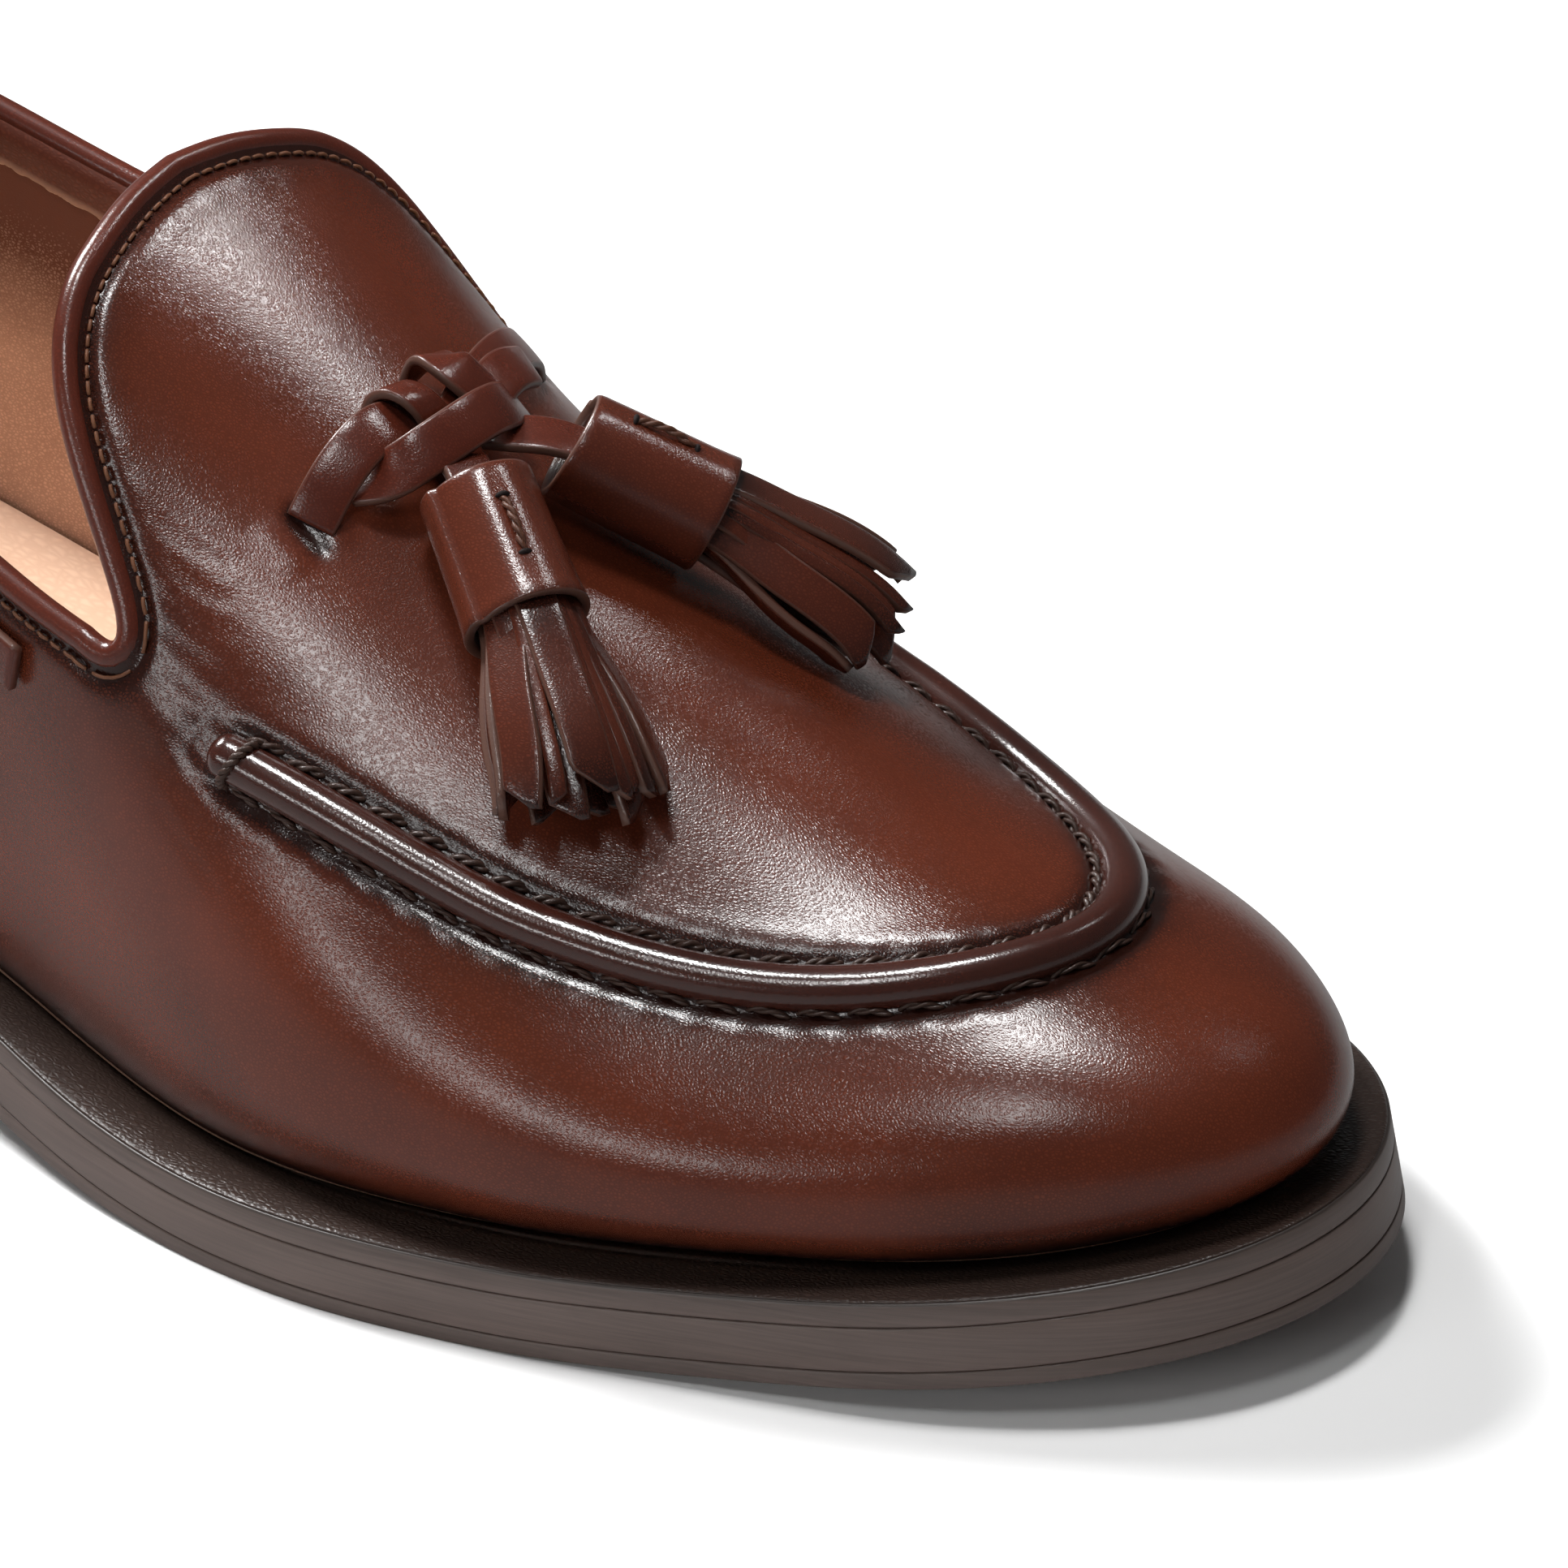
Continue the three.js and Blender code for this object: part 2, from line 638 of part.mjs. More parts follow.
// A flat strip along a path, with its face turned to the given directions
function strip(points, faces, width, thickness) {
  const rings = points.map((point, i) => {
    const ahead = points[Math.min(i + 1, points.length - 1)];
    const behind = points[Math.max(i - 1, 0)];
    const along = ahead.clone().sub(behind).normalize();
    const side = along.clone().cross(faces[i]).normalize();
    const over = side.clone().cross(along).normalize();
    const corner = (s, o) =>
      point.clone().addScaledVector(side, (s * width) / 2).addScaledVector(over, (o * thickness) / 2);
    return [corner(-1, -1), corner(1, -1), corner(1, 1), corner(-1, 1)];
  });
  return solid(loft(rings));
}

// The lace's routes over the instep, as places on the last and heights above it. Tip leans the
// strip's face towards the toe.
const LACE_ROUTES = {
  lace_lateral: table(
    ["at", "turn", "lift", "tip"],
    [0.5781, 0.41, -0.2, 0.0],
    [0.5773, 0.363, 1.4, 0.0],
    [0.5761, 0.283, 3.5, 0.0],
    [0.5759, 0.214, 4.6, 0.0],
    [0.5766, 0.155, 4.6, 0.0],
    [0.5806, 0.08, 3.5, 0.0],
    [0.5873, 0.005, 2.7, 0.0],
    [0.5951, -0.054, 3.4, 0.0],
    [0.6038, -0.083, 5.0, 0.0],
    [0.6121, -0.11, 6.8, 0.0],
    [0.6196, -0.136, 7.8, 0.0],
  ),
  lace_medial: table(
    ["at", "turn", "lift", "tip"],
    [0.5595, -0.601, 0.1, 0.0],
    [0.562, -0.524, 1.8, 0.0],
    [0.5668, -0.42, 3.2, 0.0],
    [0.5722, -0.314, 4.1, 0.0],
    [0.5774, -0.22, 4.6, 0.0],
    [0.5829, -0.129, 4.8, 0.0],
    [0.5884, -0.045, 4.8, 0.0],
    [0.594, 0.024, 5.0, 0.0],
    [0.6001, 0.069, 5.6, 0.0],
    [0.6074, 0.099, 6.5, 0.0],
    [0.6143, 0.122, 6.8, 0.0],
  ),
  lace_wrap: table(
    ["at", "turn", "lift", "tip"],
    [0.5885, 0.24, 2.8, 0.0],
    [0.5928, 0.19, 5.6, 0.1],
    [0.5955, 0.135, 7.2, 0.1],
    [0.5972, 0.06, 8.0, 0.1],
    [0.5975, -0.02, 7.8, 0.1],
    [0.5968, -0.1, 6.8, 0.1],
    [0.594, -0.185, 4.6, 0.1],
  ),
};

function makeLace(rows, clearance) {
  const points = rows.map(({ at, turn, lift }) => above(at, turn, lift));
  const toToe = new THREE.Vector3(1, 0, 0);
  const faces = rows.map(({ at, turn, tip }) => lastNormal(at, turn).addScaledVector(toToe, tip));
  const curve = new THREE.CatmullRomCurve3(points, false, "centripetal");
  const turns = new THREE.CatmullRomCurve3(faces, false, "centripetal");
  const steps = evenly(2 * rows.length - 1, 0, 1);
  const path = steps.map((t) => curve.getPoint(t));
  const width = LACE_WIDTH + 2 * clearance;
  const thickness = LACE_THICKNESS + 2 * clearance;
  return strip(path, steps.map((t) => turns.getPoint(t)), width, thickness);
}

// Each strip of the knot gives way to those before it, and to the leather under it
function makeKnot() {
  const others = [];
  return Object.fromEntries(
    ["lace_lateral", "lace_medial", "lace_wrap"].map((name) => {
      const rows = LACE_ROUTES[name];
      const cuts = [...others, lastBody(SEAM_GAP)];
      const body = cuts.reduce((rest, cut) => rest.subtract(cut), makeLace(rows, 0));
      others.push(makeLace(rows, SEAM_GAP));
      return [name, body];
    }),
  );
}

function toplineHeight(at) {
  return spline(TOPLINE, "height")(at) * QUARTER_HEIGHT;
}

function turnBelowTopline(at, drop) {
  return turnAtHeight(at, toplineHeight(at) - drop);
}

// The share of the length where the last's back reaches a distance below the topline
function heelBelowTopline(drop) {
  return between(0.001, 0.1, (at) => section(at).rise + section(at).side - toplineHeight(at) + drop);
}

// A stretch of the lace that shows on the quarter, below the topline
function quarterRun({ side, fromAt, toAt, drop }) {
  const sign = side === "lateral" ? 1 : -1;
  return laidStrip(evenly(9, fromAt, toAt).map((at) => ({ at, turn: sign * turnBelowTopline(at, drop) })));
}

function heelRun({ toAt, drop }) {
  const heel = heelBelowTopline(drop);
  const half = evenly(8, 0, Math.PI / 2).map((angle) => {
    const at = heel + (toAt - heel) * Math.cos(angle);
    return { at, turn: turnBelowTopline(at, drop) };
  });
  half[half.length - 1].turn = 0;
  const back = half.slice(0, -1).reverse();
  return laidStrip([...half, ...back.map(({ at, turn }) => ({ at, turn: -turn }))]);
}

function laidStrip(places) {
  const lift = SEAM_GAP + LACE_THICKNESS / 2 + 0.25;
  const points = places.map(({ at, turn }) => above(at, turn, lift));
  const faces = places.map(({ at, turn }) => lastNormal(at, turn));
  return strip(points, faces, LACE_WIDTH, LACE_THICKNESS).subtract(lastBody(SEAM_GAP));
}

// Strips of a tassel's fringe. Angle is round the barrel, from straight above it. Spread and rise are
// the tip's distances sideways and up, length is a share of the fringe's length.
const FRINGE = table(
  ["angle", "spread", "rise", "length"],
  [-1.75, -9.6, -3.4, 0.86],
  [-1.15, -8.4, -0.2, 0.94],
  [-0.6, -5.0, 1.8, 0.98],
  [-0.05, -0.6, 2.6, 1.0],
  [0.5, 3.4, 2.0, 0.97],
  [1.05, 7.4, 0.6, 0.95],
  [1.65, 9.6, -2.4, 0.86],
  [2.6, 4.4, -4.4, 0.92],
  [-2.7, -4.6, -4.4, 0.9],
);

const BARREL_PROFILE = table(
  ["along", "radius"],
  [0.0, 0.0],
  [0.0, 0.92],
  [0.02, 0.96],
  [0.5, 1.0],
  [1.0, 1.06],
  [1.0, 0.84],
  [0.93, 0.8],
  [0.93, 0.0],
);

// A tassel lying on the apron: a rolled leather barrel and the strips that hang out of it
function makeTassel({ at, turn, lift, toAt, toTurn, toLift, flip }) {
  const start = above(at, turn, lift);
  const along = above(toAt, toTurn, toLift).sub(start).normalize();
  const face = lastNormal((at + toAt) / 2, (turn + toTurn) / 2);
  const side = along.clone().cross(face).normalize().multiplyScalar(flip);
  const up = face.clone().addScaledVector(along, -face.dot(along)).normalize();
  const outline = BARREL_PROFILE.map(
    (row) => new THREE.Vector2(row.radius * BARREL_RADIUS, row.along * BARREL_LENGTH),
  );
  const barrel = new THREE.LatheGeometry(outline, 16);
  const right = along.clone().cross(up).normalize();
  barrel.applyMatrix4(new THREE.Matrix4().makeBasis(right, along, up).setPosition(start));
  let tassel = solid(barrel);
  FRINGE.forEach(({ angle, spread, rise, length }) => {
    const rootSide = 0.62 * BARREL_RADIUS * Math.sin(angle);
    const rootUp = 0.62 * BARREL_RADIUS * Math.cos(angle);
    const points = evenly(5, 0, 1).map((t) => {
      const ease = t * t * (3 - 2 * t);
      return start
        .clone()
        .addScaledVector(along, 0.88 * BARREL_LENGTH + t * length * FRINGE_LENGTH)
        .addScaledVector(side, THREE.MathUtils.lerp(rootSide, spread, ease))
        .addScaledVector(up, THREE.MathUtils.lerp(rootUp, rise, ease) - 2.2 * t * t);
    });
    const outward = side.clone().multiplyScalar(0.55 * Math.sin(angle));
    outward.addScaledVector(up, Math.cos(angle) < 0 ? -1 : 1);
    tassel = tassel.add(strip(points, points.map(() => outward), FRINGE_WIDTH, FRINGE_THICKNESS));
  });
  return tassel.subtract(lastBody(SEAM_GAP));
}

const TASSELS = {
  tassel_lateral: { at: 0.6161, turn: 0.128, lift: 7, toAt: 0.6663, toTurn: 0.316, toLift: 7, flip: 1 },
  tassel_medial: { at: 0.6216, turn: -0.139, lift: 8, toAt: 0.6672, toTurn: -0.29, toLift: 8.4, flip: -1 },
};

// The shoe
const shoe = new THREE.Group();

function addPiece(name, body, finish) {
  const mesh = new THREE.Mesh(geometryOf(body), new THREE.MeshStandardMaterial(finish));
  mesh.name = name;
  shoe.add(mesh);
}

addPiece("upper", makeUpper(), CALF);
addPiece("collar_binding", makeBinding(), DARK_CALF);
addPiece("apron_roll", makeApronRoll(), DARK_CALF);
addPiece("insole", makeInsole(), TAN_LEATHER);
addPiece("welt", makeWelt(), WELT_LEATHER);
addPiece("midsole", makeMidsole(), SOLE_EDGE);
addPiece("outsole", makeOutsole(), RUBBER);
addPiece("heel_stack", heelBlock(TOP_LIFT_THICKNESS + SEAM_GAP, null), SOLE_EDGE);
addPiece("top_lift", heelBlock(0, TOP_LIFT_THICKNESS), RUBBER);
QUARTER_RUNS.forEach((run) => addPiece(`lace_run_${run.side}`, quarterRun(run), CALF));
addPiece("lace_run_heel", heelRun(HEEL_RUN), CALF);
Object.entries(makeKnot()).forEach(([name, body]) => addPiece(name, body, DARK_CALF));
Object.entries(TASSELS).forEach(([name, place]) => addPiece(name, makeTassel(place), CALF));

const box = new THREE.Box3().setFromObject(shoe);
const centre = box.getCenter(new THREE.Vector3());
shoe.position.set(-centre.x, -centre.y, -box.min.z);
shoe.updateMatrixWorld(true);

export default shoe;
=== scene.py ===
# A tassel loafer for the right foot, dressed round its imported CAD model.
# Metres, X towards the toe, Y towards the inner side of the foot, Z up. Places on the shoe are
# written as the maker's last gives them: a share of its length, and a turn from its ridge.
import math

import bmesh
import bpy
import numpy as np
from mathutils import Matrix, Vector, kdtree


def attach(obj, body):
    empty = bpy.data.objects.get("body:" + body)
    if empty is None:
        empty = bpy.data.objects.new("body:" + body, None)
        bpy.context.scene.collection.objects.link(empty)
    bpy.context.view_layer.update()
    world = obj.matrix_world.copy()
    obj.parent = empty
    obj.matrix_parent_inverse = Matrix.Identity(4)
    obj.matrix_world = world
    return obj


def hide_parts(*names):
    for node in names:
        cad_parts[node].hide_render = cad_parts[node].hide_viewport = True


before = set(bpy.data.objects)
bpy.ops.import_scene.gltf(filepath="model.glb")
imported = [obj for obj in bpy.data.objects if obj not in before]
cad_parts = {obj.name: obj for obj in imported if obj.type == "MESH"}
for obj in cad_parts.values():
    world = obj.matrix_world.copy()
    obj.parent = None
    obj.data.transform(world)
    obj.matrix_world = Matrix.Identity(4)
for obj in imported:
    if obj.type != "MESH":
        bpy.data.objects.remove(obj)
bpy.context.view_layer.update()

# The camera stands off the outer side of the toe and looks down on it through a long lens.
# The picture is square, so the lens is given for a 36 mm sensor.
CAMERA_AIM = Vector((0.06222, 0.01231, 0.04319))
CAMERA_AZIMUTH = math.radians(39.11)
CAMERA_ELEVATION = math.radians(29.45)
CAMERA_ROLL = math.radians(-3.29)
CAMERA_DISTANCE = 1.2891
CAMERA_LENS = 258.36
CAMERA_SENSOR = 36.0


def make_camera():
    flat = math.cos(CAMERA_ELEVATION)
    sideways = math.sin(CAMERA_AZIMUTH)
    forwards = math.cos(CAMERA_AZIMUTH)
    back = Vector((sideways * flat, -forwards * flat, math.sin(CAMERA_ELEVATION)))
    level = Vector((forwards, sideways, 0.0))
    upright = back.cross(level)
    right = math.cos(CAMERA_ROLL) * level + math.sin(CAMERA_ROLL) * upright
    up = math.cos(CAMERA_ROLL) * upright - math.sin(CAMERA_ROLL) * level
    lens = bpy.data.cameras.new("camera")
    lens.lens = CAMERA_LENS
    lens.sensor_width = CAMERA_SENSOR
    lens.clip_start = 0.05
    camera = bpy.data.objects.new("camera", lens)
    bpy.context.scene.collection.objects.link(camera)
    place = Matrix((right, up, back)).transposed().to_4x4()
    place.translation = CAMERA_AIM + back * CAMERA_DISTANCE
    camera.matrix_world = place
    bpy.context.scene.camera = camera


make_camera()

# The last is the foot-shaped form that the leather is pulled over. Its sections run from heel to
# toe, and every piece of the shoe is placed on it.
LAST_LENGTH = 0.288
LAST_HEEL = np.array([-0.145201, 0.002463, 0.0])  # the last's heel end in the model's frame
BALL_HALF_WIDTH = 0.049
INSTEP_HEIGHT = 0.102
SIDE_HEIGHT = 0.022
HEEL_LIFT = 0.0242
TOE_SPRING = 0.0086
FOREPART_HEIGHT = 0.011
SECTION_COLUMNS = ("at", "width", "shift", "crest", "side", "full")
SECTIONS = np.array(
    [
        (0.0, 0.61, 0.0, 0.925, 1.0, 0.01),
        (0.09, 0.654, 0.006, 0.962, 1.0, 0.0),
        (0.2, 0.678, 0.012, 1.0, 1.0, -0.02),
        (0.32, 0.699, -0.012, 1.002, 0.91, -0.05),
        (0.44, 0.772, -0.025, 0.928, 0.81, -0.09),
        (0.54, 0.898, -0.053, 0.784, 0.703, -0.03),
        (0.64, 0.998, -0.05, 0.613, 0.636, 0.02),
        (0.74, 0.996, -0.013, 0.475, 0.561, 0.05),
        (0.84, 0.939, 0.012, 0.378, 0.433, 0.04),
        (0.92, 0.891, 0.03, 0.342, 0.345, 0.0),
        (1.0, 0.844, 0.02, 0.32, 0.38, 0.0),
    ]
)
HEEL_ROUND = (0.155, 2.5)
TOE_ROUND = (0.726, 1.756)
ARCH = (0.06, 0.6)
SPRING = (0.7, 1.7)


def natural_spline(knots, values):
    """A smooth curve through the values at the knots, straight at both ends."""
    x = np.array(knots, float)
    y = np.array(values, float)
    span = np.diff(x)
    system = np.eye(len(x))
    pull = np.zeros(len(x))
    for i in range(1, len(x) - 1):
        system[i, i - 1 : i + 2] = span[i - 1], 2 * (span[i - 1] + span[i]), span[i]
        pull[i] = 6 * ((y[i + 1] - y[i]) / span[i] - (y[i] - y[i - 1]) / span[i - 1])
    bend = np.linalg.solve(system, pull)

    def value(at):
        at = np.asarray(at, float)
        i = np.clip(np.searchsorted(x, at, side="right") - 1, 0, len(x) - 2)
        a = (x[i + 1] - at) / span[i]
        b = (at - x[i]) / span[i]
        bow = (a**3 - a) * bend[i] + (b**3 - b) * bend[i + 1]
        return a * y[i] + b * y[i + 1] + bow * span[i] ** 2 / 6

    return value


section_curve = {
    name: natural_spline(SECTIONS[:, 0], SECTIONS[:, i]) for i, name in enumerate(SECTION_COLUMNS)
}


def feather_height(at):
    """Height of the line where the upper meets the welt."""
    arch = np.clip((ARCH[1] - at) / (ARCH[1] - ARCH[0]), 0, 1)
    toe = np.maximum(0, at - SPRING[0]) / (1 - SPRING[0])
    return FOREPART_HEIGHT + HEEL_LIFT * arch**2 * (3 - 2 * arch) + TOE_SPRING * toe ** SPRING[1]


def section(at):
    """Half width, middle, centre height, rise, squareness and side height of a section."""
    toe = np.clip((at - TOE_ROUND[0]) / (1 - TOE_ROUND[0]), 0, 1)
    heel = np.clip((HEEL_ROUND[0] - at) / HEEL_ROUND[0], 0, 1)
    rounding = np.sqrt(1 - toe ** TOE_ROUND[1]) * np.sqrt(1 - heel ** HEEL_ROUND[1])
    half = section_curve["width"](at) * BALL_HALF_WIDTH * rounding
    middle = section_curve["shift"](at) * BALL_HALF_WIDTH
    side = section_curve["side"](at) * SIDE_HEIGHT
    rise = (section_curve["crest"](at) * INSTEP_HEIGHT - side) * rounding
    return half, middle, feather_height(at) + side, rise, section_curve["full"](at), side


def on_last(at, turn):
    """A point of the last. Turn is the angle from the ridge, positive towards the outer side."""
    half, middle, base, rise, full, _ = section(at)
    angle = turn + np.pi / 2
    across = (np.cos(angle) + full * np.cos(3 * angle)) / (1 + full)
    up = (np.sin(angle) - full * np.sin(3 * angle)) / (1 + full)
    parts = np.broadcast_arrays(at * LAST_LENGTH, middle + half * across, base + rise * up)
    return np.stack(parts, -1) + LAST_HEEL


def unit(vectors):
    return vectors / np.maximum(np.linalg.norm(vectors, axis=-1, keepdims=True), 1e-12)


def last_normal(at, turn):
    step = 1e-4
    along = on_last(at + step, turn) - on_last(at - step, turn)
    around = on_last(at, turn + step) - on_last(at, turn - step)
    return unit(np.cross(around, along))


def above(at, turn, lift):
    """A point at a height above the last's surface."""
    return on_last(at, turn) + last_normal(at, turn) * np.asarray(lift, float)[..., None]


def turn_at_height(at, height):
    """The turn at which the section reaches a height above the feather line."""
    _, _, _, rise, full, side = section(at)
    goal = (height - side) / np.maximum(rise, 1e-9) * (1 + full)
    sine = np.clip(goal, -1, 1)
    for _ in range(12):
        miss = sine - full * (3 * sine - 4 * sine**3) - goal
        sine = np.clip(sine - miss / (1 - full * (3 - 12 * sine * sine)), -1, 1)
    return np.pi / 2 - np.arcsin(sine)


def between(low, high, value):
    """The share of the length where a value of the last changes sign."""
    sign = np.sign(value(low))
    for _ in range(40):
        middle = (low + high) / 2
        if np.sign(value(middle)) == sign:
            low = middle
        else:
            high = middle
    return (low + high) / 2


# The lace is a flat thong of the upper's own calf. It comes out of a slit on each side of the
# instep, is tied in a folded knot over the vamp, and ends in the two tassels.
LACE_WIDTH = 0.006
LACE_THICKNESS = 0.0012
# Along each stretch: place, height above the last, and how far the face leans to the toe if it does
LACE_ROUTES = {
    "lace_lateral": [
        (0.5781, 0.41, -0.0002), (0.5773, 0.363, 0.0014), (0.5761, 0.283, 0.0035),
        (0.5759, 0.214, 0.0046), (0.5766, 0.155, 0.0046), (0.5806, 0.08, 0.0035),
        (0.5873, 0.005, 0.0027), (0.5951, -0.054, 0.0034), (0.6038, -0.083, 0.005),
        (0.6121, -0.11, 0.0068), (0.6196, -0.136, 0.0078), (0.6262, -0.158, 0.0082),
    ],
    "lace_medial": [
        (0.5595, -0.601, 0.0001), (0.562, -0.524, 0.0018), (0.5668, -0.42, 0.0032),
        (0.5722, -0.314, 0.0041), (0.5774, -0.22, 0.0046), (0.5829, -0.129, 0.0048),
        (0.5884, -0.045, 0.0048), (0.594, 0.024, 0.005), (0.6001, 0.069, 0.0056),
        (0.6074, 0.099, 0.0065), (0.6143, 0.122, 0.0068), (0.6206, 0.144, 0.007),
    ],
    "lace_wrap": [
        (0.5825, 0.262, 0.0012), (0.5865, 0.243, 0.0024), (0.5915, 0.205, 0.0048, 0.2),
        (0.5952, 0.14, 0.0071, 0.3), (0.5972, 0.06, 0.0081, 0.3), (0.5975, -0.02, 0.0081, 0.3),
        (0.5968, -0.1, 0.007, 0.3), (0.594, -0.185, 0.0046, 0.2),
    ],
}
# Short folds of the same thong that the knot leaves standing: one behind the band, and a cut end
KNOT_FOLDS = {
    "knot_fold": [
        (0.5938, -0.085, 0.0058), (0.5865, -0.085, 0.0066), (0.5806, -0.072, 0.0072),
        (0.5746, -0.066, 0.0072), (0.569, -0.074, 0.0058), (0.5655, -0.09, 0.003, -1.2),
        (0.566, -0.1, 0.0008, -2.0),
    ],
    "knot_end": [
        (0.5868, -0.14, 0.0058), (0.5838, -0.2, 0.006), (0.5818, -0.27, 0.0056),
        (0.58, -0.345, 0.0046),
    ],
}
KNOT_FOLD_BEVEL = 0.4
# The loop that holds the outer thong down, standing on its edge over it: points in millimetres
KNOT_LOOP = np.array(
    [
        (26.4, -3.6, 84.0), (23.0, -4.6, 84.1), (20.4, -4.6, 85.2), (19.4, -4.4, 87.2),
        (20.2, -4.2, 89.2), (22.2, -4.0, 90.3), (24.4, -3.6, 89.9), (26.0, -3.0, 88.3),
        (26.9, -2.4, 86.0),
    ]
)
KNOT_LOOP_WIDTH = 0.0044
KNOT_LOOP_SIDE = np.array((0.08, 1.0, -0.12))
# Across a thong: share of the half width, share of the half thickness, and how raw the cut is
THONG_PROFILE = [
    (-0.9, -1.0, 0.0), (0.0, -1.0, 0.0), (0.9, -1.0, 0.0), (0.98, -0.8, 0.6), (1.0, 0.0, 0.9),
    (0.99, 0.62, 1.0), (0.955, 0.88, 0.4), (0.86, 1.04, 0.0), (0.5, 1.14, 0.0), (0.0, 1.2, 0.0),
    (-0.5, 1.14, 0.0), (-0.86, 1.04, 0.0), (-0.955, 0.88, 0.4), (-0.99, 0.62, 1.0),
    (-1.0, 0.0, 0.9), (-0.98, -0.8, 0.6),
]


def run_along(points):
    """How far along a path each of its points lies."""
    return np.concatenate([[0], np.cumsum(np.linalg.norm(np.diff(points, axis=0), axis=1))])


def smooth_path(points, count):
    """Even steps along a smooth curve through a row of points, which may be of any width."""
    along = run_along(points[:, :3])
    curves = [natural_spline(along, column) for column in points.T]
    fine = np.linspace(0, along[-1], 40 * len(points))
    dense = np.stack([curve(fine) for curve in curves], -1)
    run = run_along(dense[:, :3])
    even = np.linspace(0, run[-1], count)
    return np.stack([np.interp(even, run, column) for column in dense.T], -1)


def tangents(points, closed=False):
    """The ways along a path at its points."""
    if closed:
        return unit(np.roll(points, -1, axis=0) - np.roll(points, 1, axis=0))
    return unit(np.gradient(points, axis=0))


def ring_faces(rings, count, closed=False, capped=False):
    """Faces between rings of points that follow one another, and over both ends if capped."""
    faces = []
    for i in range(rings if closed else rings - 1):
        here = i * count
        following = (i + 1) % rings * count
        for j in range(count):
            k = (j + 1) % count
            faces.append((here + j, here + k, following + k, following + j))
    if capped:
        faces.append(tuple(range(count)))
        faces.append(tuple(range((rings - 1) * count, rings * count)))
    return faces


def turned_out(mesh):
    """Turns the faces of a mesh to point out."""
    work = bmesh.new()
    work.from_mesh(mesh)
    bmesh.ops.recalc_face_normals(work, faces=work.faces)
    work.to_mesh(mesh)
    work.free()


def make_piece(name, points, faces, finish, nodes=(), marks=None):
    """A piece of the shoe from its points and faces. Marks are values kept at its points."""
    mesh = bpy.data.meshes.new(name)
    mesh.from_pydata([tuple(p) for p in np.asarray(points, float)], [], faces)
    mesh.update()
    for mark, values in (marks or {}).items():
        layer = mesh.attributes.new(mark, "FLOAT", "POINT")
        layer.data.foreach_set("value", np.asarray(values, np.float32))
    mesh.polygons.foreach_set("use_smooth", np.ones(len(mesh.polygons), bool))
    mesh.materials.append(finish)
    piece = bpy.data.objects.new(name, mesh)
    bpy.context.scene.collection.objects.link(piece)
    turned_out(mesh)
    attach(piece, "root")
    if nodes:
        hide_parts(*nodes)
    return piece


def thong(path, faces, width, thickness, bevel=0.0):
    """Points, faces and raw edges of a flat thong along a path, with its face turned as given.

    A bevel cuts its far end off aslant, to that share of the width.
    """
    along = tangents(path)
    side = unit(np.cross(along, faces))
    over = unit(np.cross(side, along))
    profile = np.array(THONG_PROFILE)
    across = profile[None, :, 0, None] * np.ones((len(path), 1, 1))
    run = run_along(path)
    to_end = (run[-1] - run)[:, None, None] / width
    cut = np.clip(1 - to_end / abs(bevel), 0, 1) if bevel else 0.0
    leaning = math.copysign(1.0, bevel)
    across = across - leaning * 1.5 * cut * np.clip(0.5 + 0.5 * leaning * across, 0, 1)
    rings = (
        path[:, None]
        + side[:, None] * across * width / 2
        + over[:, None] * profile[None, :, 1, None] * thickness / 2
    )
    faces = ring_faces(len(path), len(profile), capped=True)
    return rings.reshape(-1, 3), faces, np.tile(profile[:, 2], len(path))


def feed(tree, socket, value):
    """Sets a node's input to a value, or links another node's output to it."""
    if isinstance(value, bpy.types.NodeSocket):
        tree.links.new(value, socket)
    else:
        socket.default_value = value


def new_node(tree, kind, inputs, **settings):
    """A shader node with its settings and then its named inputs."""
    node = tree.nodes.new(kind)
    for setting, value in settings.items():
        setattr(node, setting, value)
    for name, value in inputs.items():
        feed(tree, node.inputs[name], value)
    return node


def math_node(tree, operation, *values, kind="ShaderNodeMath", **settings):
    """The result of a math node whose inputs are numbers or other nodes' outputs."""
    node = new_node(tree, kind, {}, operation=operation, **settings)
    for socket, value in zip(node.inputs, values):
        feed(tree, socket, value)
    return node.outputs[0]


def mixed(tree, share, first, second):
    """A mix of two colours. The colour inputs of the node are its seventh and eighth."""
    node = new_node(tree, "ShaderNodeMix", {}, data_type="RGBA")
    for number, value in ((0, share), (6, first), (7, second)):
        feed(tree, node.inputs[number], value)
    return node.outputs[2]


def spread(tree, value, low, high, to_low=0.0, to_high=1.0):
    """A value from one range to another, held at its ends."""
    node = new_node(tree, "ShaderNodeMapRange", {}, interpolation_type="SMOOTHSTEP")
    for socket, number in zip(node.inputs, (value, low, high, to_low, to_high)):
        feed(tree, socket, number)
    return node.outputs[0]


def noise(tree, place, scale, detail, roughness=0.5):
    """The outputs of cloudy noise at a place."""
    inputs = {"Vector": place, "Scale": scale, "Detail": detail, "Roughness": roughness}
    return new_node(tree, "ShaderNodeTexNoise", inputs).outputs


def object_place(tree):
    return tree.nodes.new("ShaderNodeTexCoord").outputs["Object"]


def mark_value(tree, name):
    """A value kept at the mesh's points."""
    return new_node(tree, "ShaderNodeAttribute", {}, attribute_name=name).outputs["Fac"]


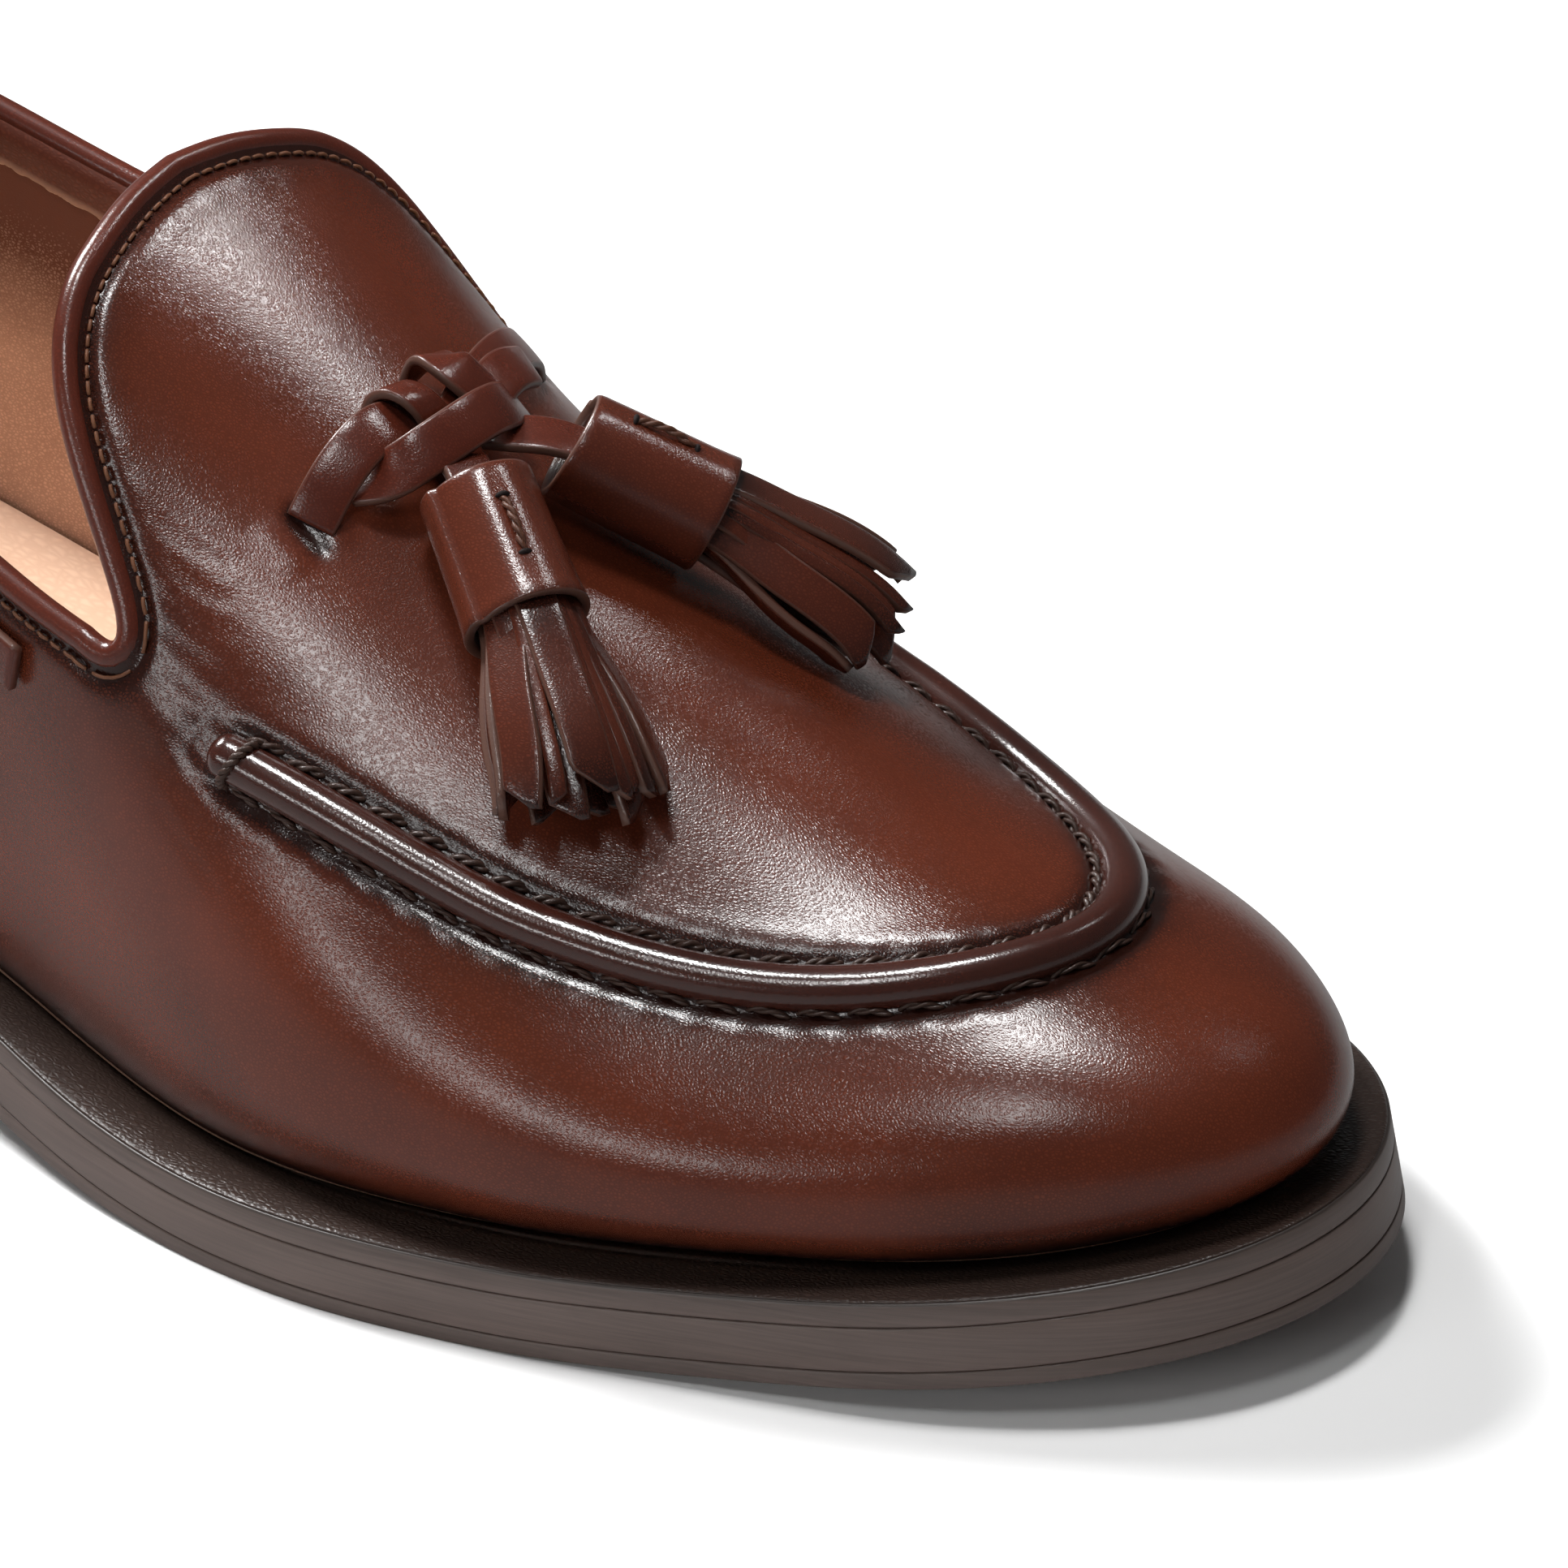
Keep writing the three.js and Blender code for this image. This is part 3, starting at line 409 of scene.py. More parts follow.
def new_group(name, inputs, outputs):
    """A shader group with named inputs and outputs."""
    group = bpy.data.node_groups.new(name, "ShaderNodeTree")
    for socket, kind, value in inputs:
        made = group.interface.new_socket(name=socket, in_out="INPUT", socket_type=kind)
        made.default_value = value
    for socket, kind in outputs:
        group.interface.new_socket(name=socket, in_out="OUTPUT", socket_type=kind)
    entry = group.nodes.new("NodeGroupInput")
    leave = group.nodes.new("NodeGroupOutput")
    return group, entry.outputs, leave.inputs


def make_grain_group():
    """Fine grain of calf: low cells between fine lines, over a finer pull of the skin."""
    number = "NodeSocketFloat"
    group, entry, leave = new_group(
        "Leather grain",
        [("Cells", number, 1500.0), ("Pull", number, 0.3)],
        [("Height", number), ("Crease", number), ("Patch", number)],
    )
    vector = "ShaderNodeVectorMath"
    place = object_place(group)
    swirl = noise(group, place, 500.0, 4.0)["Color"]
    shifted = math_node(group, "MULTIPLY_ADD", swirl, (0.0006, 0.0006, 0.0006), place, kind=vector)
    stretched = math_node(group, "MULTIPLY", shifted, (0.75, 1.3, 1.1), kind=vector)
    cells = new_node(
        group,
        "ShaderNodeTexVoronoi",
        {"Vector": stretched, "Scale": entry["Cells"]},
        feature="DISTANCE_TO_EDGE",
    )
    dome = spread(group, cells.outputs["Distance"], 0.0, 0.42)
    fine = noise(group, stretched, entry["Cells"], 2.0)["Fac"]
    slow = noise(group, place, 46.0, 3.0)["Fac"]
    worn = spread(group, slow, 0.1, 0.9, 0.7, 1.0)
    domed = math_node(group, "MULTIPLY", dome, math_node(group, "MULTIPLY", worn, 0.6))
    pulled = math_node(group, "MULTIPLY", fine, entry["Pull"])
    feed(group, leave["Height"], math_node(group, "ADD", domed, pulled))
    feed(group, leave["Crease"], math_node(group, "SUBTRACT", 1.0, dome))
    feed(group, leave["Patch"], slow)
    return group


def make_burnish_and_shade_group():
    """Hand-burnished colour: lighter where rubbed, darker towards seams and edges, and painted shade
    where the shade mark is high.
    """
    number, colour = "NodeSocketFloat", "NodeSocketColor"
    group, entry, leave = new_group(
        "Burnish and painted shade",
        [
            ("Light", colour, (0.2, 0.05, 0.02, 1.0)),
            ("Dark", colour, (0.03, 0.01, 0.006, 1.0)),
            ("Raw", colour, (0.3, 0.2, 0.13, 1.0)),
            ("Patch", number, 0.5),
            ("Crease", number, 0.0),
            ("Crease depth", number, 0.3),
        ],
        [("Color", colour), ("Roughness", number)],
    )
    cut = mark_value(group, "raw")
    cloudy = spread(group, entry["Patch"], 0.1, 0.9, 0.34, 0.0)
    # The shade mark carries painted shade in hollows, creases and slits, and darker tone towards seams
    # and edges.
    dark = math_node(group, "ADD", mark_value(group, "shade"), cloudy, use_clamp=True)
    creased = math_node(group, "MULTIPLY", entry["Crease"], entry["Crease depth"])
    darker = math_node(group, "ADD", dark, creased, use_clamp=True)
    tone = mixed(group, darker, entry["Light"], entry["Dark"])
    feed(group, leave["Color"], mixed(group, cut, tone, entry["Raw"]))
    rough = math_node(group, "MULTIPLY", cloudy, 0.06)
    feed(group, leave["Roughness"], math_node(group, "MULTIPLY_ADD", cut, 0.4, rough))
    return group


grain_group = make_grain_group()
burnish_and_shade_group = make_burnish_and_shade_group()
CUT_EDGE = (78, 52, 42)
LEATHER_GLOSS = 0.22


def hue(red, green, blue):
    """A colour as it looks, from 0 to 255, as the shader's linear colour."""
    shares = [c / 255 for c in (red, green, blue)]
    linear = [c / 12.92 if c <= 0.04045 else ((c + 0.055) / 1.055) ** 2.4 for c in shares]
    return (*linear, 1.0)


def new_finish(name):
    finish = bpy.data.materials.new(name)
    finish.use_nodes = True
    return finish, finish.node_tree, finish.node_tree.nodes["Principled BSDF"].inputs


def relief(tree, height, depth):
    """The normal of a surface that is raised by a depth in metres where the height is one."""
    inputs = {"Strength": 1.0, "Distance": depth, "Height": height}
    return new_node(tree, "ShaderNodeBump", inputs).outputs["Normal"]


def calf(name, light, dark, roughness, depth, cells, coat=0.4, coat_roughness=0.2, raw=CUT_EDGE):
    """A finish of dressed calf: grained, burnished and waxed, with painted shade from its shade mark.
    Cells are those in a metre.
    """
    finish, tree, surface = new_finish(name)
    grain = new_node(tree, "ShaderNodeGroup", {"Cells": cells}, node_tree=grain_group)
    inputs = {"Light": hue(*light), "Dark": hue(*dark), "Raw": hue(*raw)}
    inputs |= {"Patch": grain.outputs["Patch"], "Crease": grain.outputs["Crease"]}
    burnish_and_shade = new_node(tree, "ShaderNodeGroup", inputs, node_tree=burnish_and_shade_group)
    feed(tree, surface["Base Color"], burnish_and_shade.outputs["Color"])
    rough = math_node(tree, "ADD", burnish_and_shade.outputs["Roughness"], roughness)
    feed(tree, surface["Roughness"], rough)
    normal = relief(tree, grain.outputs["Height"], depth)
    feed(tree, surface["Normal"], normal)
    feed(tree, surface["Coat Normal"], normal)
    surface["Specular IOR Level"].default_value = LEATHER_GLOSS
    surface["Coat Weight"].default_value = coat
    surface["Coat Roughness"].default_value = coat_roughness
    return finish


lace_calf = calf("lace_calf", (88, 37, 24), (32, 13, 9), 0.25, 0.00002, 2400.0)


def along_last(rows, count):
    """A smooth path over the last, and the way that its face looks."""
    at, turn, lift, leaning = np.array([(*row, 0.0)[:4] for row in rows]).T
    lean = last_normal(at, turn) + leaning[:, None] * np.array([1.0, 0.0, 0.0])
    line = smooth_path(np.hstack([above(at, turn, lift), lean]), count)
    return line[:, :3], line[:, 3:]


def make_thong(name, path, faces, slot="dark_calf", nodes=(), width=LACE_WIDTH, bevel=0.0):
    """A stretch of the lace as a piece."""
    points, quads, raw = thong(path, faces, width, LACE_THICKNESS, bevel)
    return make_piece(name, points, quads, lace_calf, nodes, {"raw": raw})


def make_lace(name):
    path, faces = along_last(LACE_ROUTES[name], 64)
    return make_thong(f"{name}_thong", path, faces, nodes=[name]), path


def make_knot_loop():
    path = smooth_path(KNOT_LOOP / 1000, 48)
    faces = np.cross(np.tile(KNOT_LOOP_SIDE, (len(path), 1)), tangents(path))
    return make_thong("knot_loop", path, faces, width=KNOT_LOOP_WIDTH)


knot_pieces = [make_lace("lace_wrap")[0], make_knot_loop()]
for fold_name, fold_rows in KNOT_FOLDS.items():
    knot_pieces.append(make_thong(fold_name, *along_last(fold_rows, 40), bevel=KNOT_FOLD_BEVEL))
lateral_lace, lateral_path = make_lace("lace_lateral")
medial_lace, medial_path = make_lace("lace_medial")

# Each tassel is a strip of calf cut into a fringe and rolled round the lace's end. The roll is the
# barrel, held with one stitch, and the fringe hangs out of it.
BARREL_LENGTH = 0.0185
BARREL_RADIUS = 0.0066
BARREL_SIDES = 120
FRINGE_LENGTH = 0.024
FRINGE_THICKNESS = 0.0011
TASSELS = {
    "tassel_lateral": ((0.6161, 0.128, 0.007), (0.6663, 0.316, 0.007), 1),
    "tassel_medial": ((0.6216, -0.139, 0.008), (0.6672, -0.29, 0.0084), -1),
}
# Strips of a fringe: angle round the barrel, the widest place and the tip as distances sideways and
# up, share of the fringe's length, width and bevel
FRINGE = [
    (-1.95, -0.0086, -0.0036, -0.0094, -0.005, 0.86, 0.0036, 0.5),
    (-1.3, -0.0078, 0.0006, -0.0092, -0.0018, 0.95, 0.005, -0.6),
    (-0.86, -0.005, 0.0026, -0.006, 0.0002, 1.02, 0.0018, 0.6),
    (-0.66, -0.0036, 0.003, -0.0044, 0.0008, 0.98, 0.0016, -0.5),
    (-0.44, -0.0023, 0.0035, -0.0028, 0.0014, 1.03, 0.0016, 0.6),
    (0.06, 0.0006, 0.0049, 0.0008, 0.003, 1.0, 0.005, 0.7),
    (0.55, 0.004, 0.0032, 0.0046, 0.0008, 0.96, 0.002, -0.5),
    (0.98, 0.007, 0.0026, 0.0088, 0.0002, 0.93, 0.0048, 0.45),
    (1.6, 0.0086, -0.0008, 0.0102, -0.003, 0.9, 0.0042, -0.4),
    (2.1, 0.0078, -0.004, 0.0088, -0.0052, 0.84, 0.004, 0.5),
    (2.75, 0.0034, -0.0056, 0.0038, -0.0062, 0.9, 0.0044, 0.5),
    (-2.75, -0.0034, -0.0056, -0.0038, -0.0062, 0.92, 0.0044, -0.5),
    (-0.9, -0.004, -0.0004, -0.0046, -0.0028, 1.06, 0.0046, -0.5),
    (0.7, 0.0024, 0.0, 0.003, -0.0022, 1.0, 0.0046, 0.5),
    (3.1, 0.0004, -0.0024, 0.0, -0.004, 0.97, 0.0048, -0.5),
]
# Along the barrel: share of its length, share of its radius, and how raw the cut is
BARREL_PROFILE = [
    (0.045, 0.05, 0.0), (0.045, 0.72, 0.0), (0.03, 0.8, 0.5), (0.004, 0.84, 1.0),
    (0.0, 0.88, 1.0), (0.004, 0.93, 0.7), (0.02, 0.955, 0.0), (0.08, 0.965, 0.0),
    (0.3, 0.98, 0.0), (0.55, 1.0, 0.0), (0.8, 1.02, 0.0), (0.93, 1.04, 0.0), (0.985, 1.055, 0.0),
    (0.998, 1.05, 0.6), (1.0, 1.02, 1.0), (1.0, 0.9, 0.8), (0.97, 0.87, 0.3), (0.9, 0.84, 0.0),
    (0.88, 0.05, 0.0),
]
BARREL_ROOT = 0.3  # share of the radius inside which the lap doesn't show
BARREL_DARK = 0.85  # share of the radius inside which the barrel's ends are painted dark as shade
BARREL_LAP = 0.0009  # the strip's end stands up where it laps over the roll
BARREL_LAP_ANGLE = 1.15
BARREL_LAP_FADE = 5.2
BARREL_STITCH = (0.28, 0.7)  # from and to as shares of the barrel
BARREL_THREAD = 0.0005
BARREL_THREAD_LIFT = 0.00025
STITCH_GROOVE = 0.0002
STITCH_GROOVE_ANGLE = 0.13
STITCH_GROOVE_SHARES = (0.25, 0.8)
HOLE_RADIUS = 0.00036
HOLE_REACH = 0.0009
FRINGE_ROOT = 0.66  # share of the barrel's radius where the strips come out of it
FRINGE_STEPS = 26
FRINGE_SAG = 0.0004
TIP_SAG = 0.0006
tassel_calf = calf("tassel_calf", (92, 42, 27), (32, 13, 9), 0.24, 0.00002, 2400.0, 0.55, 0.19)
barrel_thread = calf("waxed_thread", (88, 53, 38), (42, 25, 19), 0.45, 0.00003, 3500.0, 0.05)
hole_shade_finish = calf("needle_hole_shade", (22, 10, 8), (14, 7, 6), 0.8, 0.00002, 1500.0, 0.0)


def tassel_frame(place):
    """Where a tassel starts, and the ways along it, to its side and up from the shoe."""
    (at, turn, lift), (to_at, to_turn, to_lift), flip = place
    start = above(at, turn, lift)
    along = unit(above(to_at, to_turn, to_lift) - start)
    face = last_normal((at + to_at) / 2, (turn + to_turn) / 2)
    side = unit(np.cross(along, face)) * flip
    up = unit(face - along * face.dot(along))
    return start, along, side, up


def joined(parts):
    """Several sets of points, faces and raw edges as one."""
    faces = []
    first = 0
    for points, part_faces, _ in parts:
        faces += [tuple(first + i for i in face) for face in part_faces]
        first += len(points)
    return np.concatenate([p[0] for p in parts]), faces, np.concatenate([p[2] for p in parts])


def tube(points, towards, radius, sides, closed=False):
    """Points, faces and raw edges of a tube round a path. Radius may differ along it."""
    along = tangents(points, closed)
    over = unit(towards - along * (towards * along).sum(-1, keepdims=True))
    right = np.cross(along, over)
    angles = np.linspace(0, 2 * np.pi, sides + 1)[:-1, None]
    radius = np.broadcast_to(np.asarray(radius, float), (len(points),))
    out = over[:, None] * np.cos(angles) + right[:, None] * np.sin(angles)
    rings = (points[:, None] + out * radius[:, None, None]).reshape(-1, 3)
    return rings, ring_faces(len(points), sides, closed, not closed), np.zeros(len(rings))


def stitch(start, end, up, radius, rise, turns, steps=14):
    """One stitch of two-ply thread that comes out of the leather and goes back in."""
    t = np.linspace(0, 1, steps)[:, None]
    arch = np.sin(np.pi * t) ** 0.6
    middle = start + (end - start) * t + up * (rise * arch - 1.6 * radius * (1 - arch))
    side = np.cross(unit(end - start), up)
    plies = []
    for ply in (0.0, np.pi):
        twist = 2 * np.pi * turns * t + ply
        spiral = (side * np.cos(twist) + up * np.sin(twist)) * radius * 0.5
        plies.append(tube(middle + spiral, np.tile(up, (steps, 1)), radius * 0.62, 6))
    return joined(plies)


def make_tubes(name, parts, finish):
    """Tubes that lie apart, such as stitches, as one piece."""
    points, faces, _ = joined(parts)
    make_piece(name, points, faces, finish)


def make_barrel(name, place):
    start, along, side, up = tassel_frame(place)
    angles = np.linspace(0, 2 * np.pi, BARREL_SIDES + 1)[:-1]
    from_lap = (angles - BARREL_LAP_ANGLE) % (2 * np.pi)
    step = 1 - np.exp(-(from_lap / 0.05) ** 2)
    lap = BARREL_LAP * np.clip(1 - from_lap / BARREL_LAP_FADE, 0, 1) * step
    from_stitch = (angles + np.pi) % (2 * np.pi) - np.pi
    groove = STITCH_GROOVE * np.exp(-(from_stitch / STITCH_GROOVE_ANGLE) ** 2)
    spoke = np.outer(np.sin(angles), side) + np.outer(np.cos(angles), up)
    rings = []
    raw = []
    shade = []
    for share, radius, cut in BARREL_PROFILE:
        wobble = 1 + 0.012 * np.sin(2 * angles + 3 * share) + 0.006 * np.sin(5 * angles)
        out = radius * BARREL_RADIUS * wobble + lap * min(radius, 1) * (radius > BARREL_ROOT)
        if STITCH_GROOVE_SHARES[0] < share < STITCH_GROOVE_SHARES[1]:
            out = out - groove
        reach = share * BARREL_LENGTH + 0.0005 * np.sin(angles + 0.8) * (share < 0.06)
        rings.append(start + along * reach[:, None] + spoke * out[:, None])
        raw += [cut] * BARREL_SIDES
        # Painted shade inside the barrel's ends, and its top rim a little darker.
        shade += [0.9 if radius < BARREL_DARK else 0.3 if share > 0.96 else 0.0] * BARREL_SIDES
    points = np.concatenate(rings)
    faces = ring_faces(len(rings), BARREL_SIDES, capped=True)
    marks = {"raw": raw, "shade": shade}
    make_piece(f"{name}_barrel", points, faces, tassel_calf, [name], marks)
    surface = up * (BARREL_RADIUS + BARREL_THREAD_LIFT)
    ends = [start + along * share * BARREL_LENGTH + surface for share in BARREL_STITCH]
    sewn = stitch(ends[0], ends[1], up, BARREL_THREAD, 0.0004, 2.5, 26)
    make_tubes(f"{name}_stitch", [sewn], barrel_thread)
    # The needle holes are near-black tubes at the stitch's ends: painted shade in the holes.
    holes = []
    for end in ends:
        t = np.linspace(-1, 1, 9)[:, None]
        line = end + side * HOLE_REACH * t - up * (0.0001 + 0.0004 * t * t)
        radius = HOLE_RADIUS * np.sqrt(1.02 - t[:, 0] ** 2)
        holes.append(tube(line, np.tile(up, (len(t), 1)), radius, 8))
    make_tubes(f"{name}_stitch_hole_shades", holes, hole_shade_finish)


def make_fringe(name, place):
    start, along, side, up = tassel_frame(place)
    strips = []
    shades = []
    for number, (angle, out_side, out_up, tip_side, tip_up, length, width, bevel) in enumerate(FRINGE):
        sine = math.sin(angle)
        cosine = math.cos(angle)
        root_side = FRINGE_ROOT * BARREL_RADIUS * sine
        root_up = FRINGE_ROOT * BARREL_RADIUS * cosine
        rows = np.array(
            [
                (0.86, 0.0, root_side, root_up),
                (0.98, 0.04, 1.08 * root_side, 1.08 * root_up),
                (1.0, 0.34, 0.4 * root_side + 0.6 * out_side, 0.4 * root_up + 0.6 * out_up),
                (1.0, 0.66, out_side, out_up - FRINGE_SAG),
                (1.0, 0.9, 0.4 * out_side + 0.6 * tip_side, 0.4 * out_up + 0.6 * tip_up - FRINGE_SAG),
                (1.0, 1.0, tip_side, tip_up - TIP_SAG),
            ]
        )
        reach = rows[:, 0] * BARREL_LENGTH + rows[:, 1] * length * FRINGE_LENGTH
        path = start + along * reach[:, None] + side * rows[:, 2:3] + up * rows[:, 3:4]
        path = smooth_path(path, FRINGE_STEPS)
        outward = side * 0.8 * sine + up * (cosine + math.copysign(0.35, cosine))
        faces = np.tile(outward, (len(path), 1))
        strips.append(thong(path, faces, width, FRINGE_THICKNESS, bevel))
        t = np.repeat(np.linspace(0, 1, len(path)), len(THONG_PROFILE))
        # Painted shade where the strips come out of the barrel; darker at the tips, and the strips
        # darker by steps in turns of three.
        shades.append(0.7 * np.exp(-t / 0.12) + 0.45 * np.exp(-(1 - t) / 0.12) + 0.12 * (number % 3))
    points, faces, raw = joined(strips)
    marks = {"raw": raw, "shade": np.concatenate(shades)}
    make_piece(f"{name}_fringe", points, faces, tassel_calf, (), marks)


for tassel_name, tassel_place in TASSELS.items():
    make_barrel(tassel_name, tassel_place)
    make_fringe(tassel_name, tassel_place)

# The upper is one piece of chestnut calf pulled over the last, open at the collar and drawn in
# under the foot at the feather line, where the welt is sewn to it.
WALL = 0.002
QUARTER_HEIGHT = 0.06
TOPLINE = np.array(
    [
        (0.0, 1.02), (0.06, 0.995), (0.12, 0.985), (0.24, 1.012), (0.34, 1.006), (0.44, 0.979),
        (0.53, 0.935),
    ]
)
TOPLINE_END = 0.512
TONGUE_EDGE = np.array(
    [
        (0.0, 0.4535), (0.18, 0.457), (0.32, 0.4615), (0.45, 0.4655), (0.54, 0.4695),
        (0.64, 0.4755), (0.75, 0.487), (0.81, 0.4975), (0.87, 0.5105), (0.91, 0.519),
    ]
)
NOTCH_TURN = 0.997
NOTCH_AT = 0.5366
topline_curve = natural_spline(TOPLINE[:, 0], TOPLINE[:, 1])
tongue_curve = natural_spline(TONGUE_EDGE[:, 0], TONGUE_EDGE[:, 1])
COLLAR_STEPS = 1400
OPENING_INSET = 0.0017
COLLAR_STITCH_INSET = 0.0041
# The apron is the part of the vamp inside the seam: its half width at the toe, over what length
# its toe is rounded, how square, where its tip and its ends lie, and how it widens to the instep
APRON_HALF_WIDTH = 0.0297
APRON_ROUND = 0.06
APRON_POWER = 2.084
APRON_TIP = 0.896
APRON_BACK = 0.577
APRON_FLARE = 0.096
SEAM_STEPS = 1400
STITCH_PITCH = 0.0055
SEAM_STITCH_OUT = 0.0036  # the outer row's distance from the middle of the roll
SEAM_STITCH_IN = 0.0034
# Slits that the lace comes out of: place and lean
FRONT_SLITS = [(0.5785, 0.428, 0.1), (0.5565, -0.63, 0.7)]
SLIT_LENGTH = 0.0076
# Wrinkles: from place, to place, how far they bow, depth and width
WRINKLES = [
    ((0.546, 1.02), (0.574, 1.04), 0.0012, 0.00007, 0.0008),
    ((0.548, 0.97), (0.582, 0.96), 0.0010, 0.0001, 0.0009),
    ((0.546, 0.92), (0.578, 0.88), 0.0008, 0.00006, 0.0008),
    ((0.540, 0.87), (0.576, 0.80), 0.0010, 0.00009, 0.0009),
    ((0.535, 0.82), (0.570, 0.73), 0.0008, 0.00006, 0.0008),
    ((0.528, 0.76), (0.568, 0.66), 0.0012, 0.00008, 0.0009),
    ((0.520, 0.71), (0.566, 0.59), 0.0010, 0.00006, 0.0009),
    ((0.512, 0.66), (0.562, 0.53), 0.0012, 0.00005, 0.0009),
    ((0.552, 1.10), (0.578, 1.13), 0.0010, 0.00007, 0.0009),
    ((0.556, 1.18), (0.590, 1.24), 0.0012, 0.00006, 0.0010),
]
WRINKLE_SHADE = 300  # painted shade in a wrinkle's groove and painted light on its ridge, per metre of its depth
# Relief of the leather: distance, height and width of its grooves and swellings. They lie beyond
# each end of the roll, outwards from a stitch row of the seam, inwards from the collar's edge, and
# beside a slit's line, which is painted dark as shade
ROLL_END_RELIEF = [(0.0046, -0.0001, 0.002), (0.0072, 0.0003, 0.003)]
SEAM_RELIEF = [(-0.0004, -0.0007, 0.0011), (0.0026, 0.0001, 0.0017)]
SEAM_PUCKER_IN = (0.0013, -0.00008, 0.0011)
SEAM_PUCKER_OUT = (0.0013, -0.00012, 0.0011)
COLLAR_GROOVE = (COLLAR_STITCH_INSET, -0.0005, 0.0009)
COLLAR_SWELLING = (0.0068, 0.00014, 0.0024)
COLLAR_PUCKERS = 62
SLIT_LIP = (0.0032, 0.0002, 0.0022)
SLIT_MIDDLE = (0.0, -0.0005, 0.0012)
SLIT_SHADE = (0.0, 1.2, 0.0015)
TUCK_DEPTH = 0.0014  # how far the upper is drawn in at the feather line, and up to which height
TUCK_HEIGHT = 0.0018
UPPER_STATIONS = 560
UPPER_AROUND = 321
upper_calf = calf("chestnut_calf", (98, 43, 25), (34, 14, 9), 0.22, 0.000023, 2400.0, 0.4, 0.18)


def topline_height(at):
    return topline_curve(at) * QUARTER_HEIGHT


def heel_below_topline(drop):
    """The place on the back of the heel that lies so far below the topline."""

    def short(at):
        _, _, _, rise, _, side = section(at)
        return rise + side - topline_height(at) + drop

    return between(0.001, 0.1, short)


def mirrored(outer, first=0):
    """Places on the outer side from the first of them to the last, and then back on the inner."""
    inner = outer[first:-1][::-1] * np.array([1, -1])
    return np.concatenate([outer, inner])


def evened(places, count, closed=False):
    """Places at even steps along the leather."""
    if closed:
        places = np.concatenate([places, places[:1]])
    run = run_along(on_last(*places.T))
    even = np.linspace(0, run[-1], count + closed)[:count]
    return np.stack([np.interp(even, run, column) for column in places.T], -1)


def collar_places(count):
    """Places of the collar's edge, from the tongue's middle round the outer side and back."""
    turn = np.linspace(0, TONGUE_EDGE[-1, 0], 90)
    tongue = np.stack([tongue_curve(turn), turn], -1)
    heel = heel_below_topline(0)
    at = heel + (TOPLINE_END - heel) * (1 - np.sin(np.linspace(0, np.pi / 2, 400)))
    quarter = np.stack([at, turn_at_height(at, topline_height(at))], -1)
    quarter[-1, 1] = 0.0
    t = np.linspace(0, 1, 50)[1:-1, None]
    corner = np.array([NOTCH_AT, NOTCH_TURN])
    notch = (1 - t) ** 2 * tongue[-1] + 2 * t * (1 - t) * corner + t**2 * quarter[0]
    outer = np.concatenate([tongue, notch, quarter])
    return evened(mirrored(outer, 1), count, closed=True)


def collar_line(inset, lift, count):
    """The collar moved into the leather by a distance, and the normals there."""
    places = collar_places(count)
    points = on_last(*places.T)
    normals = last_normal(*places.T)
    away = unit(np.cross(normals, tangents(points, closed=True)))
    return points + away * inset + normals * lift, normals


def place_of(points, near):
    """The places on the last of points close to it, starting from places nearby."""
    step = 1e-4
    places = near.copy()
    for _ in range(4):
        here = on_last(*places.T)
        along = (on_last(places[:, 0] + step, places[:, 1]) - here) / step
        around = (on_last(places[:, 0], places[:, 1] + step) - here) / step
        miss = points - here
        aa = (along * along).sum(-1)
        rr = (around * around).sum(-1)
        ar = (along * around).sum(-1)
        da = (miss * along).sum(-1)
        dr = (miss * around).sum(-1)
        det = np.maximum(aa * rr - ar * ar, 1e-12)
        places = places + np.stack([(da * rr - dr * ar) / det, (dr * aa - da * ar) / det], -1)
    return places


def inside(places, outline):
    """Whether places lie inside an outline of places."""
    x, y = places[:, 0], places[:, 1]
    found = np.zeros(len(places), bool)
    for (x0, y0), (x1, y1) in zip(outline, np.roll(outline, -1, axis=0)):
        crosses = (y0 > y) != (y1 > y)
        slope = (x1 - x0) / (y1 - y0) if y1 != y0 else 0.0
        found ^= crosses & (x < x0 + (y - y0) * slope)
    return found


def apron_places(count):
    """Places along the apron's seam, from its outer end round the toe to its inner end."""
    angle = np.linspace(-np.pi / 2, np.pi / 2, 2000)
    back = (APRON_TIP - APRON_BACK) * LAST_LENGTH * (1 - np.cos(angle))
    at = APRON_TIP - back / LAST_LENGTH
    rounding = np.sqrt(1 - (1 - np.clip(back / APRON_ROUND, 0, 1)) ** APRON_POWER)
    wide = (APRON_HALF_WIDTH + APRON_FLARE * back) * rounding
    low = np.zeros(len(at))
    high = np.full(len(at), 1.5)
    middle_y = section(at)[1] + LAST_HEEL[1]
    for _ in range(40):
        middle = (low + high) / 2
        narrow = middle_y - on_last(at, middle)[:, 1] < wide
        low = np.where(narrow, middle, low)
        high = np.where(narrow, high, middle)
    turn = (low + high) / 2
    return evened(np.stack([at, np.where(angle < 0, turn, -turn)], -1), count)


def nearest(line, points):
    """Distance to a line of points, and the nearest one's number."""
    tree = kdtree.KDTree(len(line))
    for i, p in enumerate(line):
        tree.insert(p, i)
    tree.balance()
    found = [tree.find(p) for p in points]
    return np.array([f[2] for f in found]), np.array([f[1] for f in found])


def hump(distance, centre, height, width):
    return height * np.exp(-(((distance - centre) / width) ** 2))


collar_edge = collar_line(0.0, 0.0, COLLAR_STEPS)[0]
collar_near = collar_places(COLLAR_STEPS)
opening_outline = place_of(collar_line(OPENING_INSET, 0.0, COLLAR_STEPS)[0], collar_near)
seam_places = apron_places(SEAM_STEPS)
seam_points = on_last(*seam_places.T)
seam_step = float(np.linalg.norm(seam_points[1] - seam_points[0]))


